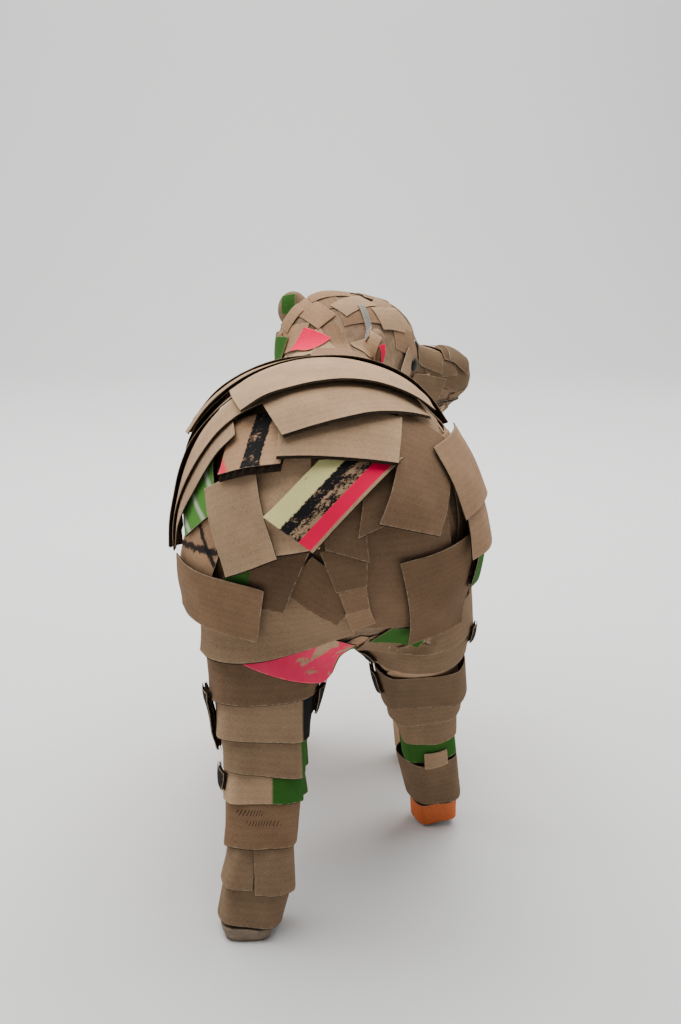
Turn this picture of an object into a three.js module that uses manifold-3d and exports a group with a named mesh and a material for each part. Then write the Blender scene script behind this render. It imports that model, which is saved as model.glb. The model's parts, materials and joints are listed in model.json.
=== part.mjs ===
// A walking bear in papier-mâché, clad in scraps of corrugated board, its head turned to its right.
// Millimetres. +Z is up, +Y is the way the bear walks and +X is its right side. The origin is on the floor,
// under the middle of the bear's bounding box. Within this file the bear is laid out from the back of its
// rump, at y = 0, over its own middle line, x = 0, and the group is moved to the origin at the end.
import * as THREE from "three";
import { mergeVertices } from "three/addons/utils/BufferGeometryUtils.js";
import Module from "manifold-3d";

const wasm = await Module();
wasm.setup();

// ---------------------------------------------------------------- driving dimensions
const BACK_HEIGHT = 388; // top of the papier-mâché rump above the floor
const RUMP_RADIUS = 97; // half the width of the rump
const LEG_LENGTH = 200; // floor to crotch
const SHOULDER_Y = 300; // shoulders, forward of the back of the rump
const SOLE_HEIGHT = 10; // each foot stands on a pad this thick
const HEAVY_BOARD = 4; // thickness of double-faced board with open flutes
const BOARD = 2.4; // thickness of most of the scraps
const LIGHT_BOARD = 1.8; // thickness of the fine board on the flanks and the tail
const LEG_BOARD = 1.2; // thickness of the single sheets round the legs
const AIR = 0.45; // air left between one piece and the next
const GRID_STEP = 16; // cell of the grid that the papier-mâché skin is drawn on

const vec = (x, y, z) => new THREE.Vector3(x, y, z);

// ---------------------------------------------- the papier-mâché form, as a distance function
const RUMP_CENTRE_Z = BACK_HEIGHT - 98;

function ellipsoid(centre, radii) {
  return (p) => {
    const x = (p.x - centre.x) / radii.x;
    const y = (p.y - centre.y) / radii.y;
    const z = (p.z - centre.z) / radii.z;
    const near = Math.sqrt(x * x + y * y + z * z);
    const slope = Math.sqrt((x / radii.x) ** 2 + (y / radii.y) ** 2 + (z / radii.z) ** 2);
    return near < 1e-6 ? -Math.min(radii.x, radii.y, radii.z) : (near * (near - 1)) / slope;
  };
}

// A limb segment: a ball of radius r1 at a, a ball of radius r2 at b and the cone between them.
function taper(a, r1, b, r2) {
  const axis = b.clone().sub(a);
  const l2 = axis.lengthSq();
  const rr = r1 - r2;
  const a2 = l2 - rr * rr;
  const il2 = 1 / l2;
  return (p) => {
    const px = p.x - a.x;
    const py = p.y - a.y;
    const pz = p.z - a.z;
    const y = px * axis.x + py * axis.y + pz * axis.z;
    const z = y - l2;
    const x2 = (px * l2 - axis.x * y) ** 2 + (py * l2 - axis.y * y) ** 2 + (pz * l2 - axis.z * y) ** 2;
    const y2 = y * y * l2;
    const z2 = z * z * l2;
    const k = Math.sign(rr) * rr * rr * x2;
    if (Math.sign(z) * a2 * z2 > k) return Math.sqrt(x2 + z2) * il2 - r2;
    if (Math.sign(y) * a2 * y2 < k) return Math.sqrt(x2 + y2) * il2 - r1;
    return (Math.sqrt(x2 * a2 * il2) + y * rr) * il2 - r1;
  };
}

// The union of two shapes, with the crease between them filled over about `blend` millimetres.
function blended(first, second, blend) {
  return (p) => {
    const a = first(p);
    const b = second(p);
    const h = Math.max(blend - Math.abs(a - b), 0) / blend;
    return Math.min(a, b) - (h * h * blend) / 4;
  };
}

// A leg is a chain of joints from the hip or shoulder down, each [centre, radius].
const LEGS = {
  left_hind: [
    [vec(-50, 86, 250), 58],
    [vec(-57, 68, 186), 36],
    [vec(-60, 46, 102), 21.5],
    [vec(-63, 30, 51), 17],
    [vec(-72, 18, 0), 14.5],
    [vec(-72, 18, -30), 14.5],
  ],
  right_hind: [
    [vec(34, 102, 256), 58],
    [vec(55, 120, 200), 37],
    [vec(63, 142, 145), 25],
    [vec(73, 166, 73), 16],
    [vec(79, 178, 31), 14],
    [vec(80, 187, 0), 13.5],
    [vec(80, 187, -30), 13.5],
  ],
  left_fore: [
    [vec(-46, SHOULDER_Y, 250), 50],
    [vec(-54, 312, 160), 32],
    [vec(-60, 335, 80), 22],
    [vec(-60, 356, 0), 17],
    [vec(-60, 356, -30), 17],
  ],
  right_fore: [
    [vec(40, SHOULDER_Y, 250), 50],
    [vec(60, 294, 160), 31],
    [vec(76, 290, 80), 21],
    [vec(84, 300, 0), 17],
    [vec(84, 300, -30), 17],
  ],
};

// The lower part of a leg is squared off, so that its back and sides are nearly flat.
const SQUARENESS = 4.5; // 2 is round
function legShape(joints) {
  const round = joints
    .slice(1)
    .map(([centre, radius], i) => taper(joints[i][0], joints[i][1], centre, radius))
    .reduce((sum, next) => blended(sum, next, 14));
  return (p) => {
    const axis = axisAt(joints, p.z);
    const dx = p.x - axis.x;
    const dy = p.y - axis.y;
    const near = Math.hypot(dx, dy);
    const sum = Math.abs(dx) ** SQUARENESS + Math.abs(dy) ** SQUARENESS;
    const square = near < 1e-6 ? 1 : sum ** (1 / SQUARENESS) / near;
    const share = THREE.MathUtils.smoothstep(LEG_LENGTH - p.z, 0, 60);
    const squeeze = 1 + share * (square - 1);
    return round(vec(axis.x + dx * squeeze, axis.y + dy * squeeze, p.z));
  };
}

// The middle of a leg at this height.
function axisAt(joints, z) {
  const last = joints.length - 1;
  let i = 0;
  while (i < last - 1 && joints[i + 1][0].z > z) i++;
  const [a, b] = [joints[i][0], joints[i + 1][0]];
  const share = THREE.MathUtils.clamp((a.z - z) / (a.z - b.z), 0, 1);
  return a.clone().lerp(b, share);
}

// The head's own frame: +Y runs from the skull to the nose, +X to its right and +Z to its crown.
const SKULL = vec(16, 394, 356);
const HEAD_TURN = THREE.MathUtils.degToRad(-53);
const HEAD_DIP = THREE.MathUtils.degToRad(-5);
const HEAD_ROLL = THREE.MathUtils.degToRad(11);
const headFrame = new THREE.Matrix4()
  .makeRotationFromEuler(new THREE.Euler(HEAD_DIP, HEAD_ROLL, HEAD_TURN, "ZXY"))
  .setPosition(SKULL);
const onHead = (x, y, z) => vec(x, y, z).applyMatrix4(headFrame);

const headShape = [
  taper(onHead(-12, -6, 2), 48, onHead(12, -6, 2), 48),
  taper(onHead(0, -6, 4), 48, onHead(0, 30, 8), 42),
  taper(onHead(0, 40, -12), 28, onHead(0, 138, -22), 24),
  taper(onHead(0, 20, -30), 34, onHead(0, 118, -50), 20),
].reduce((sum, next) => blended(sum, next, 18));

const neckShape = taper(vec(-2, SHOULDER_Y + 10, 288), 76, vec(14, 376, 330), 50);
const trunkShape = [
  ellipsoid(vec(-8, 100, RUMP_CENTRE_Z), vec(RUMP_RADIUS, 99, 98)),
  taper(vec(-18, 165, 292), 89, vec(-14, SHOULDER_Y - 20, 275), 86),
  ellipsoid(vec(0, SHOULDER_Y + 16, 248), vec(84, 78, 92)),
].reduce((sum, next) => blended(sum, next, 30));

const legShapes = Object.values(LEGS).map(legShape);
const bodyShape = legShapes.reduce((sum, leg) => blended(sum, leg, 22), trunkShape);
const formShape = blended(blended(bodyShape, neckShape, 30), headShape, 16);

function slopeOf(shape, p) {
  const e = 0.05;
  const q = p.clone();
  const d = vec(0, 0, 0);
  for (const axis of ["x", "y", "z"]) {
    q[axis] = p[axis] + e;
    const more = shape(q);
    q[axis] = p[axis] - e;
    d[axis] = (more - shape(q)) / (2 * e);
    q[axis] = p[axis];
  }
  return d;
}

// Moves p to the place nearby where the shape's distance function has this level.
function settle(shape, p, level = 0) {
  for (let i = 0; i < 6; i++) {
    const g = slopeOf(shape, p);
    p.addScaledVector(g, (level - shape(p)) / g.lengthSq());
  }
  return p;
}

// ---------------------------------------------- drawing the skin as triangles
// One vertex for each grid cell that the surface crosses, settled onto it, and a quad for each grid edge
// that it crosses.
function skinOf(shape, low, high, step) {
  const count = ["x", "y", "z"].map((k) => Math.ceil((high[k] - low[k]) / step) + 1);
  const index = (i, j, k) => (k * count[1] + j) * count[0] + i;
  const corner = (i, j, k) => vec(low.x + i * step, low.y + j * step, low.z + k * step);
  const value = new Float64Array(count[0] * count[1] * count[2]);
  for (let k = 0; k < count[2]; k++)
    for (let j = 0; j < count[1]; j++)
      for (let i = 0; i < count[0]; i++) value[index(i, j, k)] = shape(corner(i, j, k));

  const positions = [];
  const cellVertex = new Map();
  const vertexOf = (i, j, k) => {
    const cell = index(i, j, k);
    if (!cellVertex.has(cell)) {
      const sum = vec(0, 0, 0);
      let crossings = 0;
      for (const [da, db] of CELL_EDGES) {
        const a = value[index(i + da[0], j + da[1], k + da[2])];
        const b = value[index(i + db[0], j + db[1], k + db[2])];
        if (a < 0 === b < 0) continue;
        const start = corner(i + da[0], j + da[1], k + da[2]);
        sum.add(start.lerp(corner(i + db[0], j + db[1], k + db[2]), a / (a - b)));
        crossings++;
      }
      const p = settle(shape, sum.divideScalar(crossings));
      cellVertex.set(cell, positions.length / 3);
      positions.push(p.x, p.y, p.z);
    }
    return cellVertex.get(cell);
  };

  const faces = [];
  for (let k = 1; k < count[2] - 1; k++)
    for (let j = 1; j < count[1] - 1; j++)
      for (let i = 1; i < count[0] - 1; i++)
        for (let axis = 0; axis < 3; axis++) {
          const step1 = [0, 0, 0];
          step1[axis] = 1;
          const here = value[index(i, j, k)] < 0;
          const next = value[index(i + step1[0], j + step1[1], k + step1[2])] < 0;
          if (here === next) continue;
          const u = [0, 0, 0];
          const v = [0, 0, 0];
          u[(axis + 1) % 3] = -1;
          v[(axis + 2) % 3] = -1;
          const ring = [
            vertexOf(i, j, k),
            vertexOf(i + u[0], j + u[1], k + u[2]),
            vertexOf(i + u[0] + v[0], j + u[1] + v[1], k + u[2] + v[2]),
            vertexOf(i + v[0], j + v[1], k + v[2]),
          ];
          if (!here) ring.reverse();
          faces.push(...splitQuad(positions, ring));
        }
  return meshGeometry(positions, faces);
}

const CELL_EDGES = [0, 1, 2].flatMap((axis) =>
  [0, 1].flatMap((u) =>
    [0, 1].map((v) => {
      const a = [0, 0, 0];
      a[(axis + 1) % 3] = u;
      a[(axis + 2) % 3] = v;
      const b = [...a];
      b[axis] = 1;
      return [a, b];
    }),
  ),
);

// Two triangles from a quad's four corners, cut along its shorter diagonal.
function splitQuad(positions, [a, b, c, d]) {
  const gap = (m, n) =>
    Math.hypot(...[0, 1, 2].map((k) => positions[3 * m + k] - positions[3 * n + k]));
  return gap(a, c) <= gap(b, d) ? [a, b, c, a, c, d] : [a, b, d, b, c, d];
}

function meshGeometry(positions, faces) {
  const geometry = new THREE.BufferGeometry();
  geometry.setAttribute("position", new THREE.Float32BufferAttribute(positions, 3));
  geometry.setIndex(faces);
  geometry.computeVertexNormals();
  return geometry;
}

// ---------------------------------------------------------------- joining and cutting
function solidOf(geometry) {
  const bare = geometry.clone();
  bare.deleteAttribute("normal");
  bare.deleteAttribute("uv");
  const merged = mergeVertices(bare, 1e-3);
  return new wasm.Manifold(
    new wasm.Mesh({
      numProp: 3,
      vertProperties: merged.attributes.position.array,
      triVerts: new Uint32Array(merged.index.array),
    }),
  );
}

function geometryOf(solid) {
  const mesh = solid.getMesh();
  return meshGeometry(Array.from(mesh.vertProperties), Array.from(mesh.triVerts));
}

function block(low, high) {
  const size = high.clone().sub(low);
  const middle = low.clone().add(high).divideScalar(2);
  return new THREE.BoxGeometry(size.x, size.y, size.z).translate(middle.x, middle.y, middle.z);
}

// ---------------------------------------------------------------- the boards
// A board is placed by looking at the bear squarely from one side. `right` points to the viewer's right.
const VIEWS = {
  behind: { look: vec(0, 1, 0), right: vec(1, 0, 0), point: (a, b) => vec(a, -200, b) },
  front: { look: vec(0, -1, 0), right: vec(-1, 0, 0), point: (a, b) => vec(a, 700, b) },
  left: { look: vec(1, 0, 0), right: vec(0, -1, 0), point: (a, b) => vec(-300, a, b) },
  right: { look: vec(-1, 0, 0), right: vec(0, 1, 0), point: (a, b) => vec(300, a, b) },
  above: { look: vec(0, 0, -1), right: vec(1, 0, 0), point: (a, b) => vec(a, b, 600) },
};

// The first place on the shape met by looking along `look` from `start`.
function firstMet(shape, start, look) {
  const p = start.clone();
  for (let i = 0; i < 400; i++) {
    const d = shape(p);
    if (d < 0.05) break;
    p.addScaledVector(look, Math.max(d * 0.7, 0.05));
  }
  return p;
}

// A line drawn over the shape through `start`, in the plane across `ruling`, out to `reach` on both sides.
// The board bends along this line and stays straight along `ruling`.
function bendLine(shape, start, along, ruling, reach) {
  const step = 2;
  const count = Math.ceil(reach / step);
  const walk = (sign) => {
    const points = [];
    const p = start.clone();
    let heading = along.clone().multiplyScalar(sign);
    for (let i = 0; i < count; i++) {
      const last = p.clone();
      p.addScaledVector(heading, step);
      for (let j = 0; j < 4; j++) {
        const g = slopeOf(shape, p);
        g.addScaledVector(ruling, -g.dot(ruling));
        p.addScaledVector(g, -shape(p) / Math.max(g.lengthSq(), 0.2));
      }
      heading = p.clone().sub(last).normalize();
      points.push(p.clone());
    }
    return points;
  };
  const line = [...walk(-1).reverse(), start.clone(), ...walk(1)];
  return (s) => {
    const place = THREE.MathUtils.clamp(s / step + count, 0, 2 * count - 1e-6);
    const i = Math.floor(place);
    return line[i].clone().lerp(line[i + 1], place - i);
  };
}

const outward = (shape, p) => slopeOf(shape, p).normalize();

// Heights of whatever already lies on the form, for a board that is about to be laid over it.
function trianglesNear(meshes, box) {
  const found = [];
  const triangle = new THREE.Triangle();
  for (const mesh of meshes) {
    if (!mesh.geometry.boundingBox) mesh.geometry.computeBoundingBox();
    if (!mesh.geometry.boundingBox.intersectsBox(box)) continue;
    const place = mesh.geometry.attributes.position;
    const index = mesh.geometry.index.array;
    for (let i = 0; i < index.length; i += 3) {
      triangle.setFromAttributeAndIndices(place, index[i], index[i + 1], index[i + 2]);
      if (box.intersectsTriangle(triangle)) found.push(triangle.clone());
    }
  }
  return found;
}

function heightOver(triangles, foot, normal, top) {
  const ray = new THREE.Ray(foot.clone().addScaledVector(normal, top), normal.clone().negate());
  const hit = vec(0, 0, 0);
  let height = -10;
  for (const { a, b, c } of triangles) {
    if (!ray.intersectTriangle(a, b, c, true, hit)) continue;
    height = Math.max(height, top - hit.distanceTo(ray.origin));
  }
  return height;
}

const laid = []; // every mesh made so far
const CLEARANCE_TOP = 34; // nothing laid on the form stands higher than this
const FLARE_FALL = 2.2; // how soon a lifted edge comes down again, over the board's own length
// How much a board wants to lie down on the form, to stay level and not to bend.
const SPRING = [0.2, 0.6, 0.6];

// The flat outline of a board, from its own middle: how far along and across each corner of its grid lies.
// `bow` is how far its middle is cut to one side of its ends, and `slant` how far out of square an end is.
function outline(board, u, v) {
  const wide = THREE.MathUtils.lerp(board.wide, board.wideEnd ?? board.wide, u);
  const across = (v - 0.5) * wide - (board.bow ?? 0) * (1 - (2 * u - 1) ** 2);
  const start = -board.long / 2 + (board.slant ?? 0) * (v - 0.5);
  const end = board.long / 2 + (board.slantEnd ?? board.slant ?? 0) * (v - 0.5);
  return [THREE.MathUtils.lerp(start, end, u), across];
}

// How a board answers to being pushed up at one corner of its grid: column c of the result is the shape
// that it takes. It would rather lie down, stay level and not bend, in that order of ease.
function springiness(nu, nv, [lying, level, bending]) {
  const size = (nu + 1) * (nv + 1);
  const stiffness = Array.from({ length: size }, () => new Array(size).fill(0));
  for (let r = 0; r < size; r++) stiffness[r][r] = lying;
  const penalise = (terms, weight) => {
    for (const [r, a] of terms) for (const [c, b] of terms) stiffness[r][c] += weight * a * b;
  };
  const at = (i, j) => j * (nu + 1) + i;
  for (let j = 0; j <= nv; j++)
    for (let i = 0; i <= nu; i++)
      for (const [di, dj] of [
        [1, 0],
        [0, 1],
      ]) {
        const [i2, j2, i3, j3] = [i + di, j + dj, i + 2 * di, j + 2 * dj];
        if (i2 > nu || j2 > nv) continue;
        penalise([[at(i, j), -1], [at(i2, j2), 1]], level);
        if (i3 > nu || j3 > nv) continue;
        penalise([[at(i, j), 1], [at(i2, j2), -2], [at(i3, j3), 1]], bending);
      }
  return inverse(stiffness);
}

function inverse(matrix) {
  const size = matrix.length;
  const rows = matrix.map((row, r) => [...row, ...row.map((_, c) => (r === c ? 1 : 0))]);
  for (let p = 0; p < size; p++) {
    const pivot = rows[p][p];
    for (let c = 0; c < 2 * size; c++) rows[p][c] /= pivot;
    for (let r = 0; r < size; r++) {
      const factor = rows[r][p];
      if (r === p || factor === 0) continue;
      for (let c = 0; c < 2 * size; c++) rows[r][c] -= factor * rows[p][c];
    }
  }
  return rows.map((row) => row.slice(size));
}

function boardGeometry(board) {
  const view = VIEWS[board.view];
  const anchor = settle(formShape, firstMet(formShape, view.point(...board.at), view.look));
  const n = outward(formShape, anchor);
  const level = view.right.clone().addScaledVector(n, -view.right.dot(n)).normalize();
  const turn = THREE.MathUtils.degToRad(board.turn ?? 0);
  const along = level.clone().applyAxisAngle(n, turn);
  const ruling = n.clone().cross(along);
  const reach = board.long / 2 + 12 + Math.abs(board.slant ?? 0);
  const centre = bendLine(formShape, anchor, along, ruling, reach);

  const cell = board.cell ?? 17;
  const nu = Math.max(2, Math.round(board.long / cell));
  const nv = Math.max(1, Math.round(board.wide / (board.cellAcross ?? cell * 1.3)));
  const feet = [];
  const normals = [];
  const lift = [];
  for (let j = 0; j <= nv; j++)
    for (let i = 0; i <= nu; i++) {
      const [s, t] = outline(board, i / nu, j / nv);
      const straight = centre(s);
      const away = outward(formShape, straight);
      straight.addScaledVector(ruling, t);
      const foot = straight.clone();
      for (let k = 0; k < 5; k++) foot.addScaledVector(away, -0.9 * formShape(foot));
      feet.push(foot);
      normals.push(outward(formShape, foot).lerp(away, 0.4).normalize());
      lift.push(Math.max(0, straight.sub(foot).dot(away)) * (1 - (board.give ?? 0.75)));
    }
  const at = (i, j) => j * (nu + 1) + i;

  // Samples all over the underside, each with the four corners that carry it and the height it must clear.
  const box = new THREE.Box3().setFromPoints(feet).expandByScalar(CLEARANCE_TOP * 0.6);
  const below = trianglesNear(laid, box);
  const samples = [];
  const fine = board.fine ?? 4;
  for (let j = 0; j < nv; j++)
    for (let i = 0; i < nu; i++)
      for (let b = 0; b <= fine; b++)
        for (let a = 0; a <= fine; a++) {
          const u = a / fine;
          const v = b / fine;
          const carriers = [at(i, j), at(i + 1, j), at(i, j + 1), at(i + 1, j + 1)];
          const share = [(1 - u) * (1 - v), u * (1 - v), (1 - u) * v, u * v];
          const foot = vec(0, 0, 0);
          const normal = vec(0, 0, 0);
          carriers.forEach((c, k) => {
            foot.addScaledVector(feet[c], share[k]);
            normal.addScaledVector(normals[c], share[k]);
          });
          normal.normalize();
          samples.push({ carriers, share, need: heightOver(below, foot, normal, CLEARANCE_TOP) + AIR });
        }
  const give = springiness(nu, nv, board.spring ?? SPRING);
  for (const sample of samples) {
    sample.push = 0;
    const { carriers, share } = sample;
    sample.answer = lift.map((_, r) => carriers.reduce((sum, c, k) => sum + give[r][c] * share[k], 0));
    sample.ease = carriers.reduce((sum, c, k) => sum + share[k] * sample.answer[c], 0);
  }
  const heightAt = ({ carriers, share }) => carriers.reduce((sum, c, k) => sum + share[k] * lift[c], 0);
  // Pushes the board up wherever it is short of what it needs, and lets go where it was pushed too far.
  const relax = (passes) => {
    for (let pass = 0; pass < passes; pass++)
      for (const sample of samples) {
        const push = Math.max(0, sample.push + (sample.need - heightAt(sample)) / sample.ease);
        if (push === sample.push) continue;
        const change = push - sample.push;
        sample.push = push;
        for (let r = 0; r < lift.length; r++) lift[r] += change * sample.answer[r];
      }
    for (const sample of samples) {
      const short = sample.need - heightAt(sample);
      if (short > 0) sample.carriers.forEach((c) => (lift[c] += short));
    }
  };
  relax(60);

  // Free edges stand off a little more.
  const flare = board.flare ?? {};
  for (let j = 0; j <= nv; j++)
    for (let i = 0; i <= nu; i++) {
      const u = i / nu;
      const v = j / nv;
      const rise = (edge, reach) => (edge ?? 0) * Math.max(0, 1 - reach * FLARE_FALL) ** 2;
      lift[at(i, j)] += rise(flare.start, u) + rise(flare.end, 1 - u);
      lift[at(i, j)] += rise(flare.low, v) + rise(flare.high, 1 - v);
    }

  const thick = board.thick ?? BOARD;
  const raised = (offset) =>
    slab(nu, nv, (i, j, side) => {
      const k = at(i, j);
      return feet[k].clone().addScaledVector(normals[k], lift[k] + (side ? thick : offset));
    });
  const underside = ({ carriers, share }) => {
    const p = vec(0, 0, 0);
    carriers.forEach((c, k) => {
      p.addScaledVector(feet[c], share[k]).addScaledVector(normals[c], share[k] * lift[c]);
    });
    return p;
  };
  // Where a corner of a lower piece still reaches in, the board is raised just there, and tried again.
  const near = laid
    .filter((mesh) => mesh.geometry.boundingBox.intersectsBox(box))
    .map((mesh) => mesh.userData.solid);
  for (let attempt = 0; attempt < 40; attempt++) {
    const test = solidOf(raised(-0.1));
    const reached = near.map((solid) => test.intersect(solid)).filter((shared) => shared.volume() > 0.002);
    if (reached.length === 0) break;
    const places = samples.map(underside);
    const marked = new Set();
    for (const shared of reached) {
      const points = shared.getMesh().vertProperties;
      for (let i = 0; i < points.length; i += 3) {
        const q = vec(points[i], points[i + 1], points[i + 2]);
        let best = 0;
        places.forEach((place, k) => {
          if (place.distanceToSquared(q) < places[best].distanceToSquared(q)) best = k;
        });
        marked.add(best);
      }
    }
    for (const k of marked) samples[k].need = 0.2 + heightAt(samples[k]);
    relax(10);
  }
  return raised(0);
}

// A closed slab from a grid of corners: side 0 is its underside, side 1 its upper face.
function slab(nu, nv, corner) {
  const positions = [];
  for (const side of [0, 1])
    for (let j = 0; j <= nv; j++)
      for (let i = 0; i <= nu; i++) positions.push(...corner(i, j, side).toArray());
  const at = (i, j, side) => side * (nu + 1) * (nv + 1) + j * (nu + 1) + i;
  const faces = [];
  for (let j = 0; j < nv; j++)
    for (let i = 0; i < nu; i++) {
      const corners = [[i, j], [i + 1, j], [i + 1, j + 1], [i, j + 1]];
      const ring = (side) => corners.map(([a, b]) => at(a, b, side));
      faces.push(...splitQuad(positions, ring(1)));
      faces.push(...splitQuad(positions, ring(0).reverse()));
    }
  const rim = [
    ...Array.from({ length: nu }, (_, i) => [i, 0]),
    ...Array.from({ length: nv }, (_, j) => [nu, j]),
    ...Array.from({ length: nu }, (_, i) => [nu - i, nv]),
    ...Array.from({ length: nv }, (_, j) => [0, nv - j]),
  ];
  rim.forEach(([i, j], k) => {
    const [i2, j2] = rim[(k + 1) % rim.length];
    const [a, b, c, d] = [at(i, j, 0), at(i2, j2, 0), at(i2, j2, 1), at(i, j, 1)];
    faces.push(a, b, c, a, c, d);
  });
  return meshGeometry(positions, faces);
}

// The cutting list, in the order the boards go on. `at` is the middle of the board as seen in its view,
// `long` runs along `turn` degrees counterclockwise of the viewer's right, and `wide` across it.
const LEG = { cell: 12, cellAcross: 40, fine: 5, give: 0.95, thick: LEG_BOARD, spring: [1, 0.06, 0.06] };
const FORELEG = { ...LEG, cell: 16 };
const TAIL = { view: "behind", thick: LIGHT_BOARD };
const FLANK = { view: "left", flare: { low: 1 }, thick: LIGHT_BOARD };
const BOARDS = [
  { name: "left_hind_band_1", view: "behind", at: [-70, 28], long: 100, wide: 35, turn: -4, ...LEG },
  { name: "left_hind_band_2_outer", view: "left", at: [32, 58], long: 70, wide: 33, turn: -3, ...LEG },
  { name: "left_hind_band_2_inner", view: "behind", at: [-47, 55], long: 40, wide: 38, turn: 1, ...LEG },
  { name: "left_hind_band_3", view: "behind", at: [-63, 84], long: 130, wide: 36, turn: -1, ...LEG },
  { name: "left_hind_band_4", view: "behind", at: [-62, 109], long: 130, wide: 22, turn: -1, ...LEG },
  { name: "left_hind_band_5", view: "behind", at: [-60, 131], long: 140, wide: 28, turn: -8, ...LEG },
  { name: "left_hind_band_6", view: "behind", at: [-60, 157], long: 144, wide: 31, turn: -4, ...LEG },
  { name: "left_hind_band_7", view: "behind", at: [-57, 187], long: 160, wide: 36, turn: 3, ...LEG },
  {
    name: "right_hind_band_1",
    view: "behind",
    at: [81, 14],
    long: 70,
    wide: 21,
    turn: 8,
    colour: "orange",
    ...LEG,
  },
  { name: "right_hind_band_2", view: "behind", at: [79, 46], long: 98, wide: 44, turn: 5, ...LEG },
  {
    name: "right_hind_band_3",
    view: "behind",
    at: [74, 79],
    long: 86,
    wide: 21,
    turn: 6,
    colour: "green",
    ...LEG,
  },
  { name: "right_hind_band_4", view: "behind", at: [72, 101], long: 112, wide: 30, turn: 1, ...LEG },
  { name: "right_hind_band_5", view: "behind", at: [67, 124], long: 128, wide: 32, turn: 3, ...LEG },
  { name: "right_hind_band_6", view: "behind", at: [63, 143], long: 144, wide: 33, turn: 2, ...LEG },
  { name: "left_fore_band_1", view: "front", at: [-60, 36], long: 106, wide: 48, turn: 2, ...FORELEG },
  { name: "left_fore_band_2", view: "front", at: [-60, 82], long: 136, wide: 52, turn: -3, ...FORELEG },
  { name: "left_fore_band_3", view: "front", at: [-57, 134], long: 170, wide: 60, turn: 3, ...FORELEG },
  { name: "right_fore_band_1", view: "front", at: [84, 36], long: 106, wide: 48, turn: -2, ...FORELEG },
  { name: "right_fore_band_2", view: "front", at: [77, 82], long: 132, wide: 52, turn: 3, ...FORELEG },
  { name: "right_fore_band_3", view: "front", at: [66, 134], long: 170, wide: 60, turn: -3, ...FORELEG },
  // rump, from the thighs up
  {
    name: "thigh_pink",
    view: "behind",
    at: [-37, 207],
    long: 80,
    wide: 40,
    turn: -21,
    colour: "pink",
    thick: LIGHT_BOARD,
  },
  {
    name: "seat_green",
    view: "behind",
    at: [41, 207],
    long: 46,
    wide: 24,
    turn: -38,
    colour: "green",
    thick: LIGHT_BOARD,
  },
  { name: "thigh_plate", view: "behind", at: [-55, 233], long: 112, wide: 68, wideEnd: 44, turn: 13 },
  {
    name: "seat_right",
    view: "behind",
    at: [40, 262],
    long: 98,
    wide: 72,
    turn: 92,
    slant: 28,
    slantEnd: 12,
  },
  {
    name: "seat_centre",
    view: "behind",
    at: [-17, 259],
    long: 33,
    wide: 44,
    turn: 54,
    colour: "dark_kraft",
  },
  {
    name: "seat_dark",
    view: "behind",
    at: [-57, 269],
    long: 50,
    wide: 46,
    slant: 0,
    slantEnd: 18,
    colour: "dark_kraft",
  },
  {
    name: "flank_marked",
    view: "behind",
    at: [-96, 277],
    long: 50,
    wide: 44,
    turn: 62,
    colour: "dark_kraft",
  },
  {
    name: "haunch_left",
    view: "behind",
    at: [-88, 244],
    long: 76,
    wide: 38,
    wideEnd: 43,
    turn: 4,
    slant: 0,
    slantEnd: 10,
    flare: { end: 1 },
  },
  { name: "tail_tip", at: [6, 240], long: 22, wide: 16, turn: 106, ...TAIL },
  { name: "tail_low", at: [1, 260], long: 24, wide: 15, wideEnd: 19, turn: 103, ...TAIL },
  { name: "tail_middle", at: [-3, 278], long: 27, wide: 19, wideEnd: 30, turn: 100, ...TAIL },
  { name: "tail_top", at: [-5, 305], long: 38, wide: 26, turn: 95, slant: 10, slantEnd: 0, ...TAIL },
  {
    name: "rump_shaded",
    view: "behind",
    at: [20, 326],
    long: 50,
    wide: 28,
    turn: 84,
    slant: -16,
    slantEnd: 0,
    colour: "dark_kraft",
  },
  {
    name: "haunch_right",
    view: "behind",
    at: [65, 242],
    long: 66,
    wide: 82,
    turn: -13,
    slant: -34,
    slantEnd: 0,
    flare: { start: 1.5, high: 1.5 },
  },
  {
    name: "rump_right",
    view: "behind",
    at: [46, 331],
    long: 78,
    wide: 46,
    turn: 75,
    slant: -10,
    slantEnd: 0,
  },
  { name: "rump_middle", view: "behind", at: [-43, 316], long: 60, wide: 42, turn: 96 },
  { name: "flank_green", view: "behind", at: [-96, 314], long: 54, wide: 44, turn: 98, colour: "green" },
  {
    name: "rump_plain",
    view: "behind",
    at: [-68, 302],
    long: 57,
    wide: 44,
    turn: 111,
    flare: { start: 1 },
  },
  {
    name: "rump_striped",
    view: "behind",
    at: [-16, 322],
    long: 62,
    wide: 36,
    turn: 46,
    slant: -5,
    slantEnd: -35,
    colour: "striped",
    flare: { start: 1 },
  },
  {
    name: "rump_brushed",
    view: "behind",
    at: [-58, 350],
    long: 43,
    wide: 46,
    turn: 80,
    colour: "dark_kraft",
    thick: HEAVY_BOARD,
  },
  {
    name: "back_band_1",
    view: "behind",
    at: [-6, 356],
    long: 72,
    wide: 38,
    turn: -5,
    slant: 0,
    slantEnd: 5,
  },
  {
    name: "flank_right_green",
    view: "right",
    at: [85, 261],
    long: 52,
    wide: 36,
    colour: "green",
    thick: HEAVY_BOARD,
  },
  { name: "flank_right_low", view: "right", at: [70, 290], long: 56, wide: 40 },
  { name: "flank_right_high", view: "right", at: [68, 324], long: 68, wide: 50, turn: -4 },
  {
    name: "back_band_2",
    view: "above",
    at: [2, 55],
    long: 106,
    wide: 40,
    turn: 22,
    bow: 7,
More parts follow.
